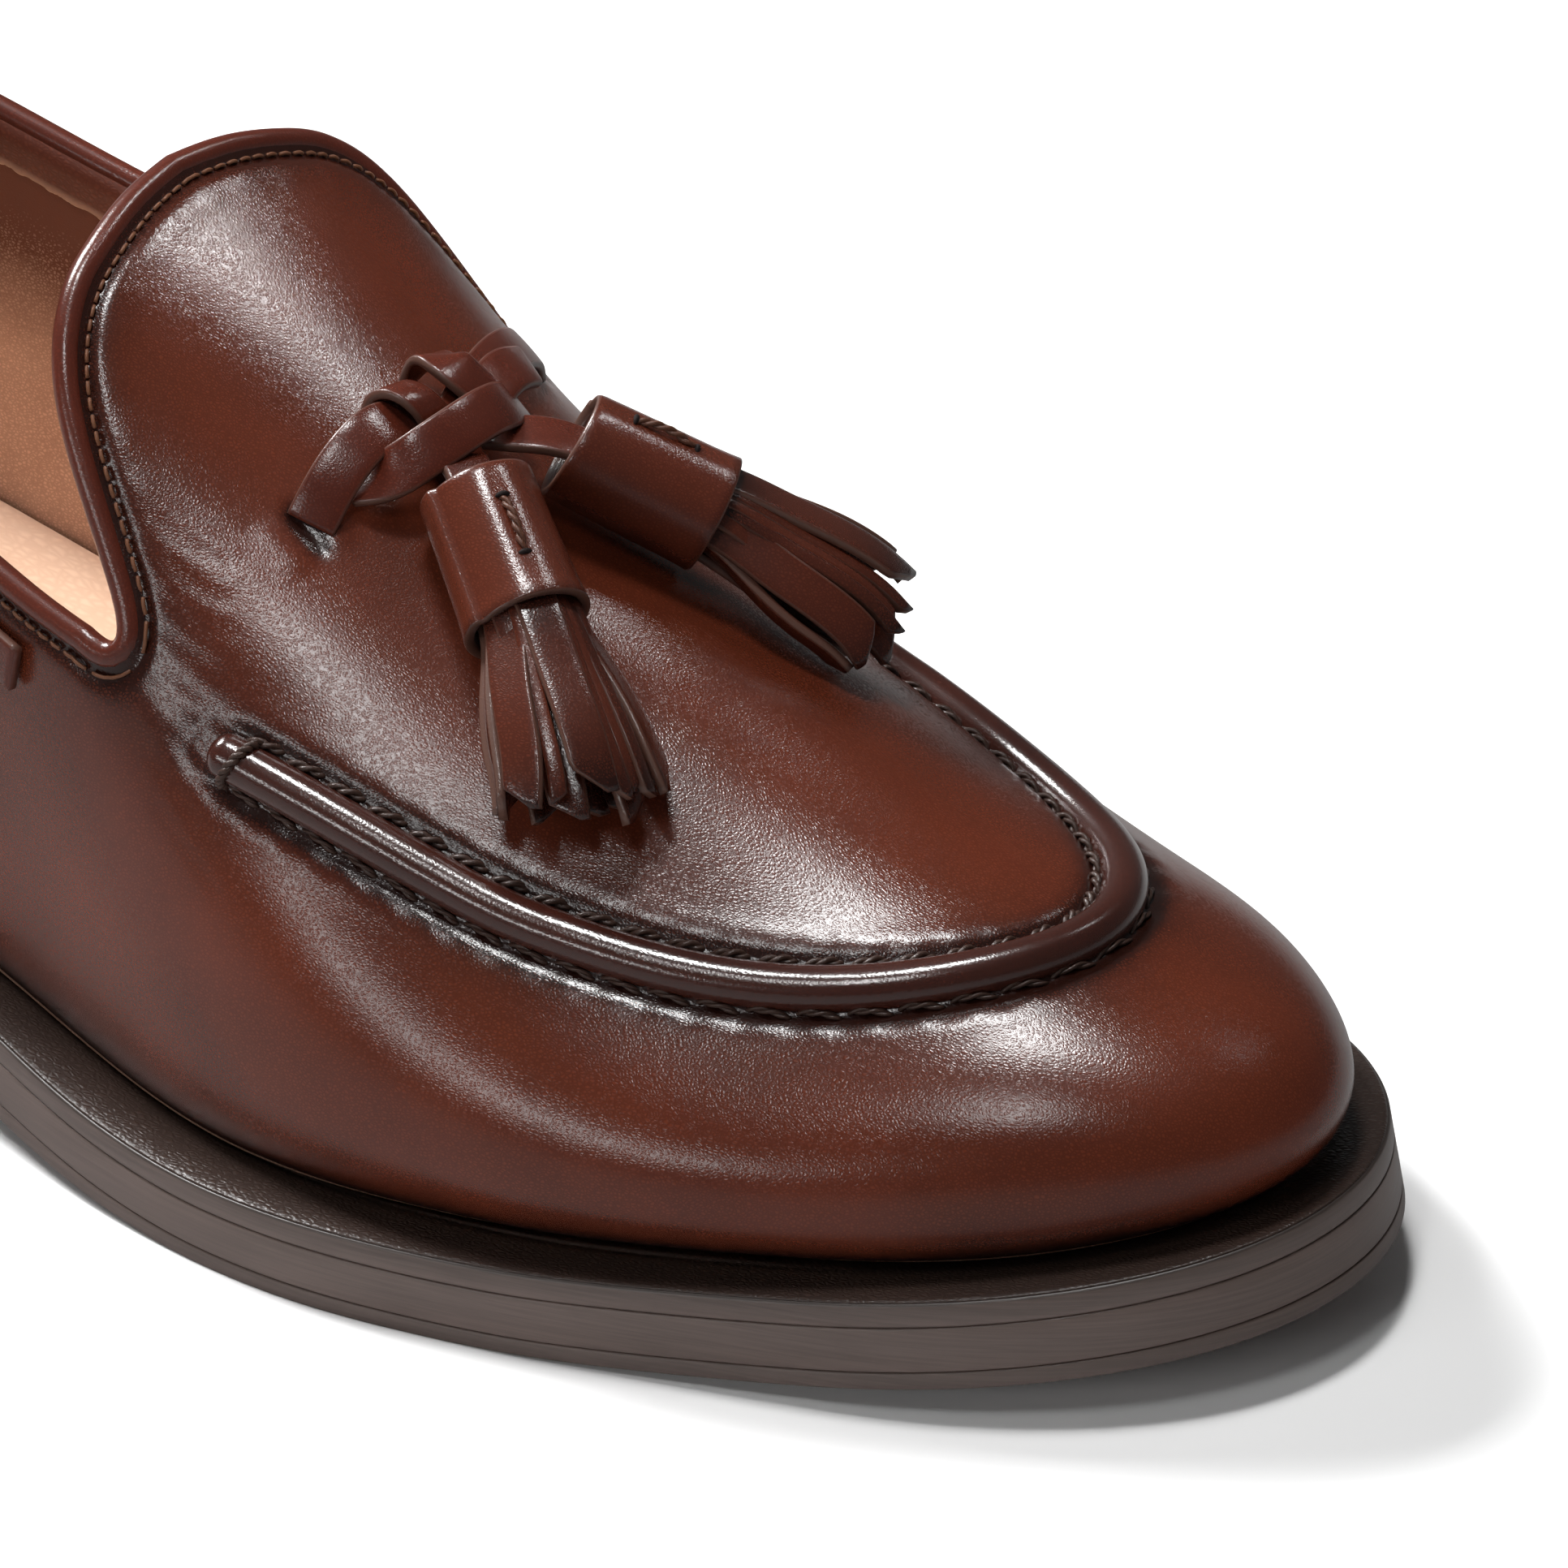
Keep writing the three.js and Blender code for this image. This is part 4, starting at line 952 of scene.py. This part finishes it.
def wrinkle_depth(points):
    """Fine creases where the vamp bends beside the knot."""
    total = np.zeros(len(points))
    t = np.linspace(0, 1, 40)
    for start, end, bow, depth, width in WRINKLES:
        at = start[0] + (end[0] - start[0]) * t + bow / LAST_LENGTH * np.sin(np.pi * t) * 3
        turn = start[1] + (end[1] - start[1]) * t
        distance, index = nearest(on_last(at, turn), points)
        ends = np.sin(np.pi * np.clip((index + 3) / 46, 0, 1)) ** 0.5
        total += ends * hump(distance, 0, -0.5 * depth, width)
        total += ends * hump(distance, 1.9 * width, 0.25 * depth, width)
    return total


def slit_relief(points):
    """The slits' lips stand up a little and their middles sink and are painted dark as shade."""
    total = np.zeros(len(points))
    dark = np.zeros(len(points))
    for at, turn, lean in FRONT_SLITS:
        centre = on_last(at, turn)
        normal = last_normal(at, turn)
        along = unit(on_last(at + 0.01, turn) - centre)
        side = unit(np.cross(normal, along))
        length = unit(along * math.cos(lean) - side * math.copysign(math.sin(lean), turn))
        u = (points - centre) @ length / (0.46 * SLIT_LENGTH)
        v = (points - centre) @ np.cross(normal, length)
        close = (np.linalg.norm(points - centre, axis=1) < 0.02) * np.exp(-(u**4))
        total += close * (hump(np.abs(v), *SLIT_LIP) + hump(v, *SLIT_MIDDLE))
        # Painted shade along the slit's middle.
        dark += close * hump(v, *SLIT_SHADE)
    return total, dark


def seam_relief(points, places):
    """The stitch rows draw grooves beside the roll, which end in a dimple and a swelling."""
    distance, index = nearest(seam_points, points)
    within = inside(places, seam_places)
    row = np.where(within, SEAM_STITCH_IN, SEAM_STITCH_OUT)
    stitched = 0.5 - 0.5 * np.cos(2 * np.pi * index * seam_step / STITCH_PITCH)
    puckers = [hump(distance - row, *pucker) for pucker in (SEAM_PUCKER_IN, SEAM_PUCKER_OUT)]
    total = stitched * np.where(within, *puckers)
    total += sum(hump(distance - row, *step) for step in SEAM_RELIEF)
    from_end = np.minimum(index, len(seam_points) - 1 - index) * seam_step
    held = 0.2 + 0.8 * np.clip(from_end / 0.004, 0, 1)
    total *= held
    for end, before in ((0, 60), (-1, -61)):
        away = unit(seam_points[end] - seam_points[before])
        for reach, height, width in ROLL_END_RELIEF:
            beyond = np.linalg.norm(points - seam_points[end] - away * reach, axis=1)
            total += hump(beyond, 0, height, width)
    # Painted shade in the groove at the foot of the roll, and darker tone along the seam.
    dark = held * hump(distance - row, -0.0012, np.where(within, 0.6, 0.85), 0.0026)
    return total, dark + hump(distance, 0, 0.3, 0.011)


def collar_relief(points):
    """The collar's stitches sink into a groove, with a low swelling below it."""
    distance, index = nearest(collar_edge, points)
    puckers = 0.85 + 0.15 * np.cos(2 * np.pi * index / COLLAR_STEPS * COLLAR_PUCKERS)
    total = hump(distance, *COLLAR_GROOVE) + hump(distance, *COLLAR_SWELLING) * puckers
    # Painted shade beside the bead, and darker tone towards the collar's edge.
    return total, hump(distance, 0.002, 0.5, 0.0035) + hump(distance, 0, 0.28, 0.011)


def wall_places(at, around):
    """A grid of places from the inner feather line over the ridge to the outer one."""
    turn = turn_at_height(at, 0.0)[:, None] * np.linspace(-1, 1, around)
    return np.stack([np.repeat(at, around), turn.ravel()], -1)


def outside_opening(places, around):
    """The places of a grid that lie outside the collar's opening, and the faces between them."""
    grid = places.reshape(-1, around, 2)
    middles = (grid[:-1, :-1] + grid[1:, 1:]) / 2
    kept = ~inside(middles.reshape(-1, 2), opening_outline).reshape(middles.shape[:2])
    first = np.argwhere(kept) @ np.array([around, 1])
    faces = first[:, None] + np.array([0, around, around + 1, 1])
    used, faces = np.unique(faces, return_inverse=True)
    return places[used], faces.reshape(-1, 4).tolist()


def make_upper():
    ridge = 0.5 - 0.5 * np.cos(np.pi * np.linspace(0.00002, 0.99998, 6000))
    step = np.linalg.norm(np.diff(on_last(ridge, 0.0), axis=0), axis=1)
    step *= 1 + 0.9 * ((ridge[1:] > 0.44) & (ridge[1:] < 0.93))
    run = np.concatenate([[0], np.cumsum(step)])
    at = np.interp(np.linspace(0, run[-1], UPPER_STATIONS), run, ridge)
    places, faces = outside_opening(wall_places(at, UPPER_AROUND), UPPER_AROUND)
    points = on_last(*places.T)
    height = np.maximum(points[:, 2] - feather_height(places[:, 0]), 0)
    seam, seam_dark = seam_relief(points, places)
    edge, edge_dark = collar_relief(points)
    slit, slit_dark = slit_relief(points)
    wrinkled = wrinkle_depth(points)
    tuck = -TUCK_DEPTH * np.exp(-height / TUCK_HEIGHT)
    lift = seam + edge + slit + wrinkled + tuck
    # Painted shade: dark within a few millimetres of the feather line, where the upper curls in, added
    # to the seam's, collar's, slits' and wrinkles' marks.
    shade = 0.95 * np.exp(-height / 0.004) + seam_dark + edge_dark + slit_dark
    shade -= wrinkled * WRINKLE_SHADE
    moved = points + last_normal(*places.T) * lift[:, None]
    marks = {"shade": np.clip(shade, 0, 1)}
    make_piece("upper_calf", moved, faces, upper_calf, ["upper"], marks)


make_upper()

# The apron's seam is sewn by hand with waxed two-ply thread: a heavy row outside the roll and a
# finer one inside it, with a cross stitch over each end of the roll. A fine row follows the collar.
SEAM_THREAD = 0.00058
SEAM_THREAD_INSIDE = 0.0004
SEAM_THREAD_RISE = 0.0002
CROSS_THREAD = 0.00036
CROSS_ANGLE = 1.75
COLLAR_THREAD = 0.00024
COLLAR_THREAD_SINK = 0.00032
COLLAR_STITCH_PITCH = 0.0022
COLLAR_STITCH_STEPS = 7
ROLL_RADIUS = 0.00275  # of the roll that the cross stitches go round, which is made further down
ROLL_SINK = 0.0002
seam_thread = calf("seam_thread", (64, 44, 36), (22, 15, 13), 0.42, 0.00003, 3500.0, 0.15)
collar_thread = calf("collar_thread", (112, 70, 46), (60, 36, 25), 0.5, 0.00002, 3500.0, 0.05)


def beside_seam(distance, lift):
    """Points at a distance inside the apron's seam and a height above the last, with normals."""
    out = unit(np.cross(tangents(seam_points), last_normal(*seam_places.T)))
    there = place_of(seam_points + out * distance, seam_places)
    normals = last_normal(*there.T)
    return on_last(*there.T) + normals * lift, normals


def make_seam_stitches():
    number = np.arange(int((SEAM_STEPS - 1) * seam_step / STITCH_PITCH))
    starts = np.round((number + 0.56) * STITCH_PITCH / seam_step).astype(int)
    ends = np.round((number + 1.44) * STITCH_PITCH / seam_step).astype(int)
    ends = np.minimum(ends, SEAM_STEPS - 1)
    for name, row, inwards, thread, sink in (
        ("apron_stitches_outer", SEAM_STITCH_OUT, -1, SEAM_THREAD, -0.00028),
        ("apron_stitches_inner", SEAM_STITCH_IN, 1, SEAM_THREAD_INSIDE, -0.0003),
    ):
        line, normals = beside_seam(inwards * row, sink)
        start_line, _ = beside_seam(inwards * (row - 0.0007), sink)
        stitches = [
            stitch(start_line[a], line[b], normals[(a + b) // 2], thread, SEAM_THREAD_RISE, 1.25)
            for a, b in zip(starts, ends)
        ]
        make_tubes(name, stitches, seam_thread)


def make_cross_stitches():
    plies = []
    angle = np.linspace(-CROSS_ANGLE, CROSS_ANGLE, 30)[:, None]
    for end, other in ((26, 8), (-27, -9)):
        point = above(*seam_places[end], -ROLL_SINK)
        normal = last_normal(*seam_places[end])
        along = unit(seam_points[other] - seam_points[end])
        outward = np.cross(normal, along) * np.sin(angle) + normal * np.cos(angle)
        path = point + outward * (ROLL_RADIUS + 0.0003) + along * 0.0009 * np.sin(angle)
        for ply in (0, np.pi):
            twist = 9 * angle + ply
            spiral = (outward * np.cos(twist) + along * np.sin(twist)) * 0.0003
            plies.append(tube(path + spiral, outward, CROSS_THREAD, 6))
    make_tubes("roll_end_stitches", plies, seam_thread)


def make_collar_stitches():
    line, normals = collar_line(COLLAR_STITCH_INSET, -COLLAR_THREAD_SINK, 4000)
    count = int(run_along(line)[-1] / COLLAR_STITCH_PITCH)
    rise = COLLAR_THREAD * np.sin(np.linspace(0, np.pi, COLLAR_STITCH_STEPS))[:, None]
    stitches = []
    for number in range(count):
        first = number / count * len(line)
        steps = first + np.linspace(0.14, 0.86, COLLAR_STITCH_STEPS) * len(line) / count
        steps = steps.astype(int) % len(line)
        up = np.tile(normals[steps[COLLAR_STITCH_STEPS // 2]], (COLLAR_STITCH_STEPS, 1))
        stitches.append(tube(line[steps] + up * rise, up, COLLAR_THREAD, 6))
    make_tubes("collar_stitches", stitches, collar_thread)


make_seam_stitches()
make_cross_stitches()
make_collar_stitches()

# The lining is a thin tan leather glued inside the upper. It is darker brown towards the collar, and
# pale low down.
LINING_THICKNESS = 0.0008
LINING_STATIONS = 200
LINING_AROUND = 120
LINING_PALE = 0.024  # the height up to which it is pale, and the height over which it darkens
LINING_FADE = 0.026
lining_leather = calf("lining_leather", (232, 190, 162), (98, 54, 38), 0.55, 0.00002, 2200.0, 0.05)


def make_lining():
    ridge = 0.5 - 0.5 * np.cos(np.pi * np.linspace(0.01, 0.97, LINING_STATIONS))
    places, faces = outside_opening(wall_places(ridge, LINING_AROUND), LINING_AROUND)
    points = on_last(*places.T)
    height = points[:, 2] - feather_height(places[:, 0])
    shade = np.clip((height - LINING_PALE) / LINING_FADE, 0, 1)
    inner = points - last_normal(*places.T) * WALL
    piece = make_piece("lining", inner, faces, lining_leather, (), {"shade": shade})
    thick = piece.modifiers.new("thickness", "SOLIDIFY")
    thick.thickness = LINING_THICKNESS
    thick.offset = 1.0


make_lining()

# The quarters are faced inside the collar with a band of the upper's own calf. Its lower edge is
# left raw, and shows as a pale rough line against the lining.
FACING_DEPTH = 0.0085
FACING_THICKNESS = 0.0008
FACING_SHADE = 0.1
# Round the band: distance from the collar's edge, share of its thickness, and how raw it is
FACING_PROFILE = [
    (0.0012, 0.0, 0.0),
    (0.0016, 1.0, 0.0),
    (0.0044, 1.0, 0.0),
    (FACING_DEPTH - 0.0016, 1.0, 0.0),
    (FACING_DEPTH - 0.0003, 0.9, 0.5),
    (FACING_DEPTH, 0.6, 1.0),
    (FACING_DEPTH + 0.0004, -0.4, 1.0),
    (0.0012, -0.4, 0.0),
]
facing_calf = calf(
    "facing_calf", (112, 58, 42), (60, 28, 20), 0.42, 0.00005, 1500.0, 0.1, raw=(205, 172, 146)
)


def make_facing():
    normals = last_normal(*collar_near.T)
    ragged = np.random.default_rng(4).normal(0, 1, COLLAR_STEPS)
    ragged = np.convolve(np.tile(ragged, 3), np.ones(5) / 5, "same")[COLLAR_STEPS : 2 * COLLAR_STEPS]
    rows = []
    for depth, thick, cut in FACING_PROFILE:
        there = place_of(collar_line(depth, 0.0, COLLAR_STEPS)[0], collar_near)
        away = last_normal(*there.T)
        rough = 0.00022 * ragged[:, None] * cut
        rows.append(on_last(*there.T) - away * (WALL + thick * FACING_THICKNESS) + normals * rough)
    points = np.concatenate(rows)
    raw = np.repeat([cut for _, _, cut in FACING_PROFILE], COLLAR_STEPS)
    marks = {"raw": raw, "shade": np.full(len(points), FACING_SHADE)}
    faces = ring_faces(len(rows), COLLAR_STEPS, closed=True)
    make_piece("collar_facing", points, faces, facing_calf, (), marks)


make_facing()

# The collar is bound with a rolled strip of darker calf, which makes a bead along its edge. The
# bead's middle lies a little below the upper's surface.
BINDING_RADIUS = 0.0016
BINDING_CENTRE = 0.001
binding_calf = calf("binding_calf", (88, 38, 26), (36, 15, 11), 0.28, 0.00002, 2200.0, 0.4, 0.2)


def make_binding():
    line, normals = collar_line(BINDING_RADIUS, -BINDING_CENTRE, 900)
    points, faces, _ = tube(line, normals, BINDING_RADIUS, 18, closed=True)
    make_piece("collar_bead", points, faces, binding_calf, ["collar_binding"])


make_binding()

# The apron's seam is raised over a cord, so it stands up as a glossy roll round the vamp. Its ends
# are rounded off where the seam stops.
ROLL_END = 0.0022
roll_calf = calf("roll_calf", (62, 28, 20), (24, 11, 8), 0.24, 0.000014, 2200.0, 1.0, 0.16)


def make_roll():
    places = apron_places(520)
    line = above(*places.T, -ROLL_SINK)
    run = np.arange(len(line)) * float(np.linalg.norm(line[1] - line[0]))
    share = np.clip(np.minimum(run, run[::-1]) / ROLL_END, 0, 1)
    radius = ROLL_RADIUS * np.sqrt(np.clip(1 - (1 - share) ** 2, 0.02, 1))
    points, faces, _ = tube(line, last_normal(*places.T), radius, 24)
    make_piece("apron_seam_roll", points, faces, roll_calf, ["apron_roll"])


make_roll()

# The lace shows again on each quarter and round the heel, where it runs through slits. It lies
# flat there, a little below the topline.
QUARTER_RUN = (0.479, 0.31)
HEEL_RUN = 0.1
RUN_BELOW_TOPLINE = 0.01
RUN_LIFT = 0.00115


def make_run(name, places):
    path = above(*places.T, RUN_LIFT)
    make_thong(f"{name}_thong", path, last_normal(*places.T), "calf", [name])


def run_places(at):
    return np.stack([at, turn_at_height(at, topline_height(at) - RUN_BELOW_TOPLINE)], -1)


quarter_places = run_places(np.linspace(*QUARTER_RUN, 50))
make_run("lace_run_lateral", quarter_places)
make_run("lace_run_medial", quarter_places * np.array([1, -1]))
heel_at = heel_below_topline(RUN_BELOW_TOPLINE)
outer_half = run_places(heel_at + (HEEL_RUN - heel_at) * np.cos(np.linspace(0, np.pi / 2, 60)))
outer_half[-1, 1] = 0.0
make_run("lace_run_heel", mirrored(outer_half))

# The insole is a thin board covered in tan leather, paler than the lining. It lies inside the
# upper's wall, on the welt.
INSOLE_THICKNESS = 0.0026
INSOLE_MARGIN = 0.0004
SEAM_GAP = 0.0003
SOLE_STATIONS = 220
# Down its edge: inset from the outline, and depth below the feather line
INSOLE_PROFILE = [
    (0.0006, -SEAM_GAP),
    (0.0, -0.001),
    (0.0, -0.0022),
    (0.0008, -SEAM_GAP - INSOLE_THICKNESS),
    (0.003, -SEAM_GAP - INSOLE_THICKNESS),
]
insole_leather = calf("insole_leather", (242, 208, 180), (206, 160, 128), 0.55, 0.00005, 700.0, 0.0)


def sole_ring(margin, inset, depth):
    """A ring of the sole at an inset from a margin round the feather line, square to the sole."""

    def gap(at):
        _, _, _, rise, _, side = section(at)
        return rise - side

    heel = between(0.0005, 0.1, gap)
    toe = between(0.9, 0.9995, gap)
    at = heel + (toe - heel) * (1 - np.cos(np.linspace(0, np.pi, SOLE_STATIONS))) / 2
    turn = turn_at_height(at, 0.0)
    loop = np.concatenate([on_last(at, turn), on_last(at, -turn)[1:-1][::-1]])
    loop[:, 2] = 0
    along = tangents(loop, closed=True)
    out = np.stack([along[:, 1], -along[:, 0], np.zeros(len(loop))], -1)
    wide = margin(loop) if callable(margin) else np.full(len(loop), margin)
    x, y, _ = (loop + out * (wide - inset)[:, None]).T
    at = (x - LAST_HEEL[0]) / LAST_LENGTH
    slope = (feather_height(at + 1e-4) - feather_height(at - 1e-4)) / (2e-4 * LAST_LENGTH)
    return np.stack([x + depth * slope, y, feather_height(at) - depth], -1)


def sole_slab(name, profile, margin, finish):
    """A layer of the sole. The profile goes down its edge: inset from the margin, and depth."""
    rings = [sole_ring(margin, inset, depth) for inset, depth in profile]
    around = len(rings[0])
    faces = ring_faces(len(rings), around)
    for first in (0, (len(rings) - 1) * around):
        for i in range(SOLE_STATIONS - 1):
            corners = dict.fromkeys((i, i + 1, around - i - 1, (around - i) % around))
            faces.append(tuple(first + corner for corner in corners))
    make_piece(f"{name}_layer", np.concatenate(rings), faces, finish, [name])


sole_slab("insole", INSOLE_PROFILE, -WALL - INSOLE_MARGIN, insole_leather)

# The welt is a strip of oak-tanned leather sewn round the upper. Its top is dyed nearly black, and
# its edge is trimmed and waxed together with the sole's.
WELT_THICKNESS = 0.0032
WELT_LIP = 0.006
WELT_WIDTHS = np.array([(0.0, 0.0036), (0.2, 0.0036), (0.36, 0.0054), (0.54, 0.0072), (1.0, 0.0072)])
# Inset from the welt's width, and depth: over its top, back along its lip, and round its edge,
# where the last number is how dark it is
WELT_TOP_PROFILE = [(0.0003, 0.0002), (0.00055, 0.00004), (0.0009, 0.0), (0.0016, -0.00006)]
WELT_LIP_PROFILE = [(-0.0012, -0.0001), (-0.0002, 0.0003), (WELT_LIP, 0.0003), (WELT_LIP, 0.0015)]
WELT_UNDER_PROFILE = [(0.0012, 0.0015), (0.0007, 0.0006)]
WELT_EDGE_PROFILE = [
    (0.0004, 0.00022, 1.0),
    (0.00012, 0.00032, 0.9),
    (0.0, 0.0006, 0.25),
    (0.0, 0.0029, 0.0),
    (0.00008, 0.00312, 0.35),
    (0.0006, 0.0032, 0.6),
    (0.003, WELT_THICKNESS, 0.6),
    (0.003, 0.0015, 0.6),
]


def waxed_edge(name, light, dark, roughness):
    """The trimmed edge of leather or rubber: fine level streaks under a thin wax."""
    finish, tree, surface = new_finish(name)
    place = object_place(tree)
    level = (70.0, 70.0, 2600.0)
    flat = math_node(tree, "MULTIPLY", place, level, kind="ShaderNodeVectorMath")
    streaks = noise(tree, flat, 1.0, 5.0, 0.65)["Fac"]
    blotch = noise(tree, place, 60.0, 4.0)["Fac"]
    streaked = spread(tree, streaks, 0.25, 0.75, 0.42, 0.06)
    worn = math_node(tree, "MULTIPLY_ADD", blotch, 0.3, -0.1)
    darker = math_node(tree, "ADD", streaked, worn)
    darker = math_node(tree, "ADD", darker, mark_value(tree, "shade"), use_clamp=True)
    feed(tree, surface["Base Color"], mixed(tree, darker, hue(*light), hue(*dark)))
    feed(tree, surface["Roughness"], math_node(tree, "MULTIPLY_ADD", streaks, 0.25, roughness))
    feed(tree, surface["Normal"], relief(tree, streaks, 0.00002))
    surface["Coat Weight"].default_value = 0.15
    surface["Coat Roughness"].default_value = 0.3
    return finish


welt_top = calf(
    "welt_top", (58, 44, 38), (24, 18, 16), 0.38, 0.00008, 1250.0, 0.25, 0.3, raw=(40, 32, 28)
)
sole_edge = waxed_edge("sole_edge", (100, 84, 78), (50, 41, 37), 0.32)
rubber_edge = waxed_edge("rubber_edge", (94, 79, 73), (48, 39, 36), 0.42)


def welt_width(points):
    """How far the welt stands out of the feather line, which eases from one width to the next."""
    at = np.clip((points[:, 0] - LAST_HEEL[0]) / LAST_LENGTH, 0, 1)
    i = np.clip(np.searchsorted(WELT_WIDTHS[:, 0], at, side="right") - 1, 0, len(WELT_WIDTHS) - 2)
    (start, width), (end, next_width) = WELT_WIDTHS[i].T, WELT_WIDTHS[i + 1].T
    t = np.clip((at - start) / (end - start), 0, 1)
    return width + (next_width - width) * t * t * (3 - 2 * t)


def make_welt_ring(name, rings, finish, nodes=(), marks=None):
    faces = ring_faces(len(rings), len(rings[0]), closed=True)
    make_piece(name, np.concatenate(rings), faces, finish, nodes, marks)


def make_welt():
    """Two pieces that share a line: the grained top with its lip, and the trimmed edge."""
    rings = [sole_ring(welt_width, *step) for step in WELT_TOP_PROFILE]
    rings += [sole_ring(0.0, *step) for step in WELT_LIP_PROFILE]
    rings += [sole_ring(welt_width, *step) for step in WELT_UNDER_PROFILE]
    make_welt_ring("welt_top", rings, welt_top, ["welt"])
    rings = [sole_ring(welt_width, inset, depth) for inset, depth, _ in WELT_EDGE_PROFILE]
    shade = np.repeat([dark for _, _, dark in WELT_EDGE_PROFILE], len(rings[0]))
    make_welt_ring("welt_edge", rings, sole_edge, marks={"shade": shade})


make_welt()

# The sole is a leather midsole with a thin rubber outsole under it, both trimmed flush. Their
# rounded edges leave fine grooves between the layers.
OUTSOLE_TOP = 0.0088
EDGE_ROUND = 0.0003
# Round the edge's upper and lower corner: inset, and depth from the layer's top or bottom, both
# as multiples of its rounding
EDGE_TOP = [(4, 0), (1.2, 0.1), (0.25, 0.35), (0, 1)]
EDGE_BOTTOM = [(0, -1), (0.25, -0.35), (1.2, 0), (4, 0)]


def slab_profile(top, bottom):
    r = EDGE_ROUND
    upper = [(inset * r, top + depth * r) for inset, depth in EDGE_TOP]
    lower = [(inset * r, bottom + depth * r) for inset, depth in EDGE_BOTTOM]
    return upper + lower


midsole_profile = slab_profile(WELT_THICKNESS, OUTSOLE_TOP)
outsole_profile = slab_profile(OUTSOLE_TOP, FOREPART_HEIGHT)
sole_slab("midsole", midsole_profile, welt_width, sole_edge)
sole_slab("outsole", outsole_profile, welt_width, rubber_edge)

# The heel is a stack of leather lifts with a rubber top lift nailed under it. Both are shown by
# the CAD model's own solids, in the sole's finishes.
for node_name, heel_finish in (("heel_stack", sole_edge), ("top_lift", rubber_edge)):
    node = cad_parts[node_name]
    node.data.materials.clear()
    node.data.materials.append(heel_finish)

# The floor is plain white. Far from the shoe it glows white for the camera alone, and it is darker
# where the leather mirrors it. The main light stands behind the heel and one hangs over the toe.
# Weaker ones light the vamp and the tongue, and a low strip draws the line along the roll.
FLOOR_REACH = 3.0
# Name, place, aim, size, power and the beam's angle
LIGHTS = [
    ("heel_side", (-0.85, 0.12, 0.95), (0.06, 0.0, 0.0), (0.4, 0.4), 26.0, 180),
    ("overhead", (-0.02, 0.02, 1.28), (0.06, 0.0, 0.0), (0.28, 0.2), 9.5, 180),
    ("front_outer", (0.25, -0.52, 0.95), (-0.03, -0.03, 0.07), (0.13, 0.3), 0.11, 32),
    ("behind", (0.2, 0.6, 0.92), (-0.11, 0.0, 0.09), (0.14, 0.14), 0.08, 24),
    ("low_strip", (-0.1, -1.1, 0.42), (0.0, 0.0, 0.05), (0.7, 0.09), 2.6, 180),
]
WORLD_GLOW = 0.07


def make_floor():
    finish, tree, surface = new_finish("floor")
    surface["Roughness"].default_value = 0.9
    rays = tree.nodes.new("ShaderNodeLightPath").outputs
    paper = mixed(tree, rays["Is Glossy Ray"], (0.95, 0.95, 0.95, 1), (0.2, 0.2, 0.2, 1))
    feed(tree, surface["Base Color"], paper)
    reach = tree.nodes.new("ShaderNodeVectorMath")
    reach.operation = "LENGTH"
    feed(tree, reach.inputs[0], object_place(tree))
    far = spread(tree, reach.outputs["Value"], 0.45, 1.5)
    # Painted light: the floor glows for the camera, the more the farther it lies from the shoe.
    surface["Emission Color"].default_value = (1, 1, 1, 1)
    feed(tree, surface["Emission Strength"], math_node(tree, "MULTIPLY", far, rays["Is Camera Ray"]))
    mesh = bpy.data.meshes.new("floor")
    corners = [(-1, -1, 0), (1, -1, 0), (1, 1, 0), (-1, 1, 0)]
    mesh.from_pydata([Vector(corner) * FLOOR_REACH for corner in corners], [], [(0, 1, 2, 3)])
    mesh.materials.append(finish)
    floor = bpy.data.objects.new("floor", mesh)
    bpy.context.scene.collection.objects.link(floor)


def make_light(name, place, aim, size, power, beam):
    lamp = bpy.data.lights.new(name, "AREA")
    lamp.shape = "RECTANGLE"
    lamp.size, lamp.size_y = size
    lamp.energy = power
    lamp.spread = math.radians(beam)
    light = bpy.data.objects.new(name, lamp)
    bpy.context.scene.collection.objects.link(light)
    light.location = place
    light.rotation_euler = (Vector(aim) - Vector(place)).to_track_quat("-Z", "Y").to_euler()


def make_world():
    """A weak white light all round, which is full white for the camera alone."""
    world = bpy.data.worlds.new("studio")
    world.use_nodes = True
    tree = world.node_tree
    background = tree.nodes["Background"].inputs
    background["Color"].default_value = (1, 1, 1, 1)
    seen = tree.nodes.new("ShaderNodeLightPath").outputs["Is Camera Ray"]
    glow = math_node(tree, "MULTIPLY_ADD", seen, 1 - WORLD_GLOW, WORLD_GLOW)
    feed(tree, background["Strength"], glow)
    bpy.context.scene.world = world


make_floor()
for light_row in LIGHTS:
    make_light(*light_row)
make_world()
bpy.context.scene.view_settings.view_transform = "Standard"
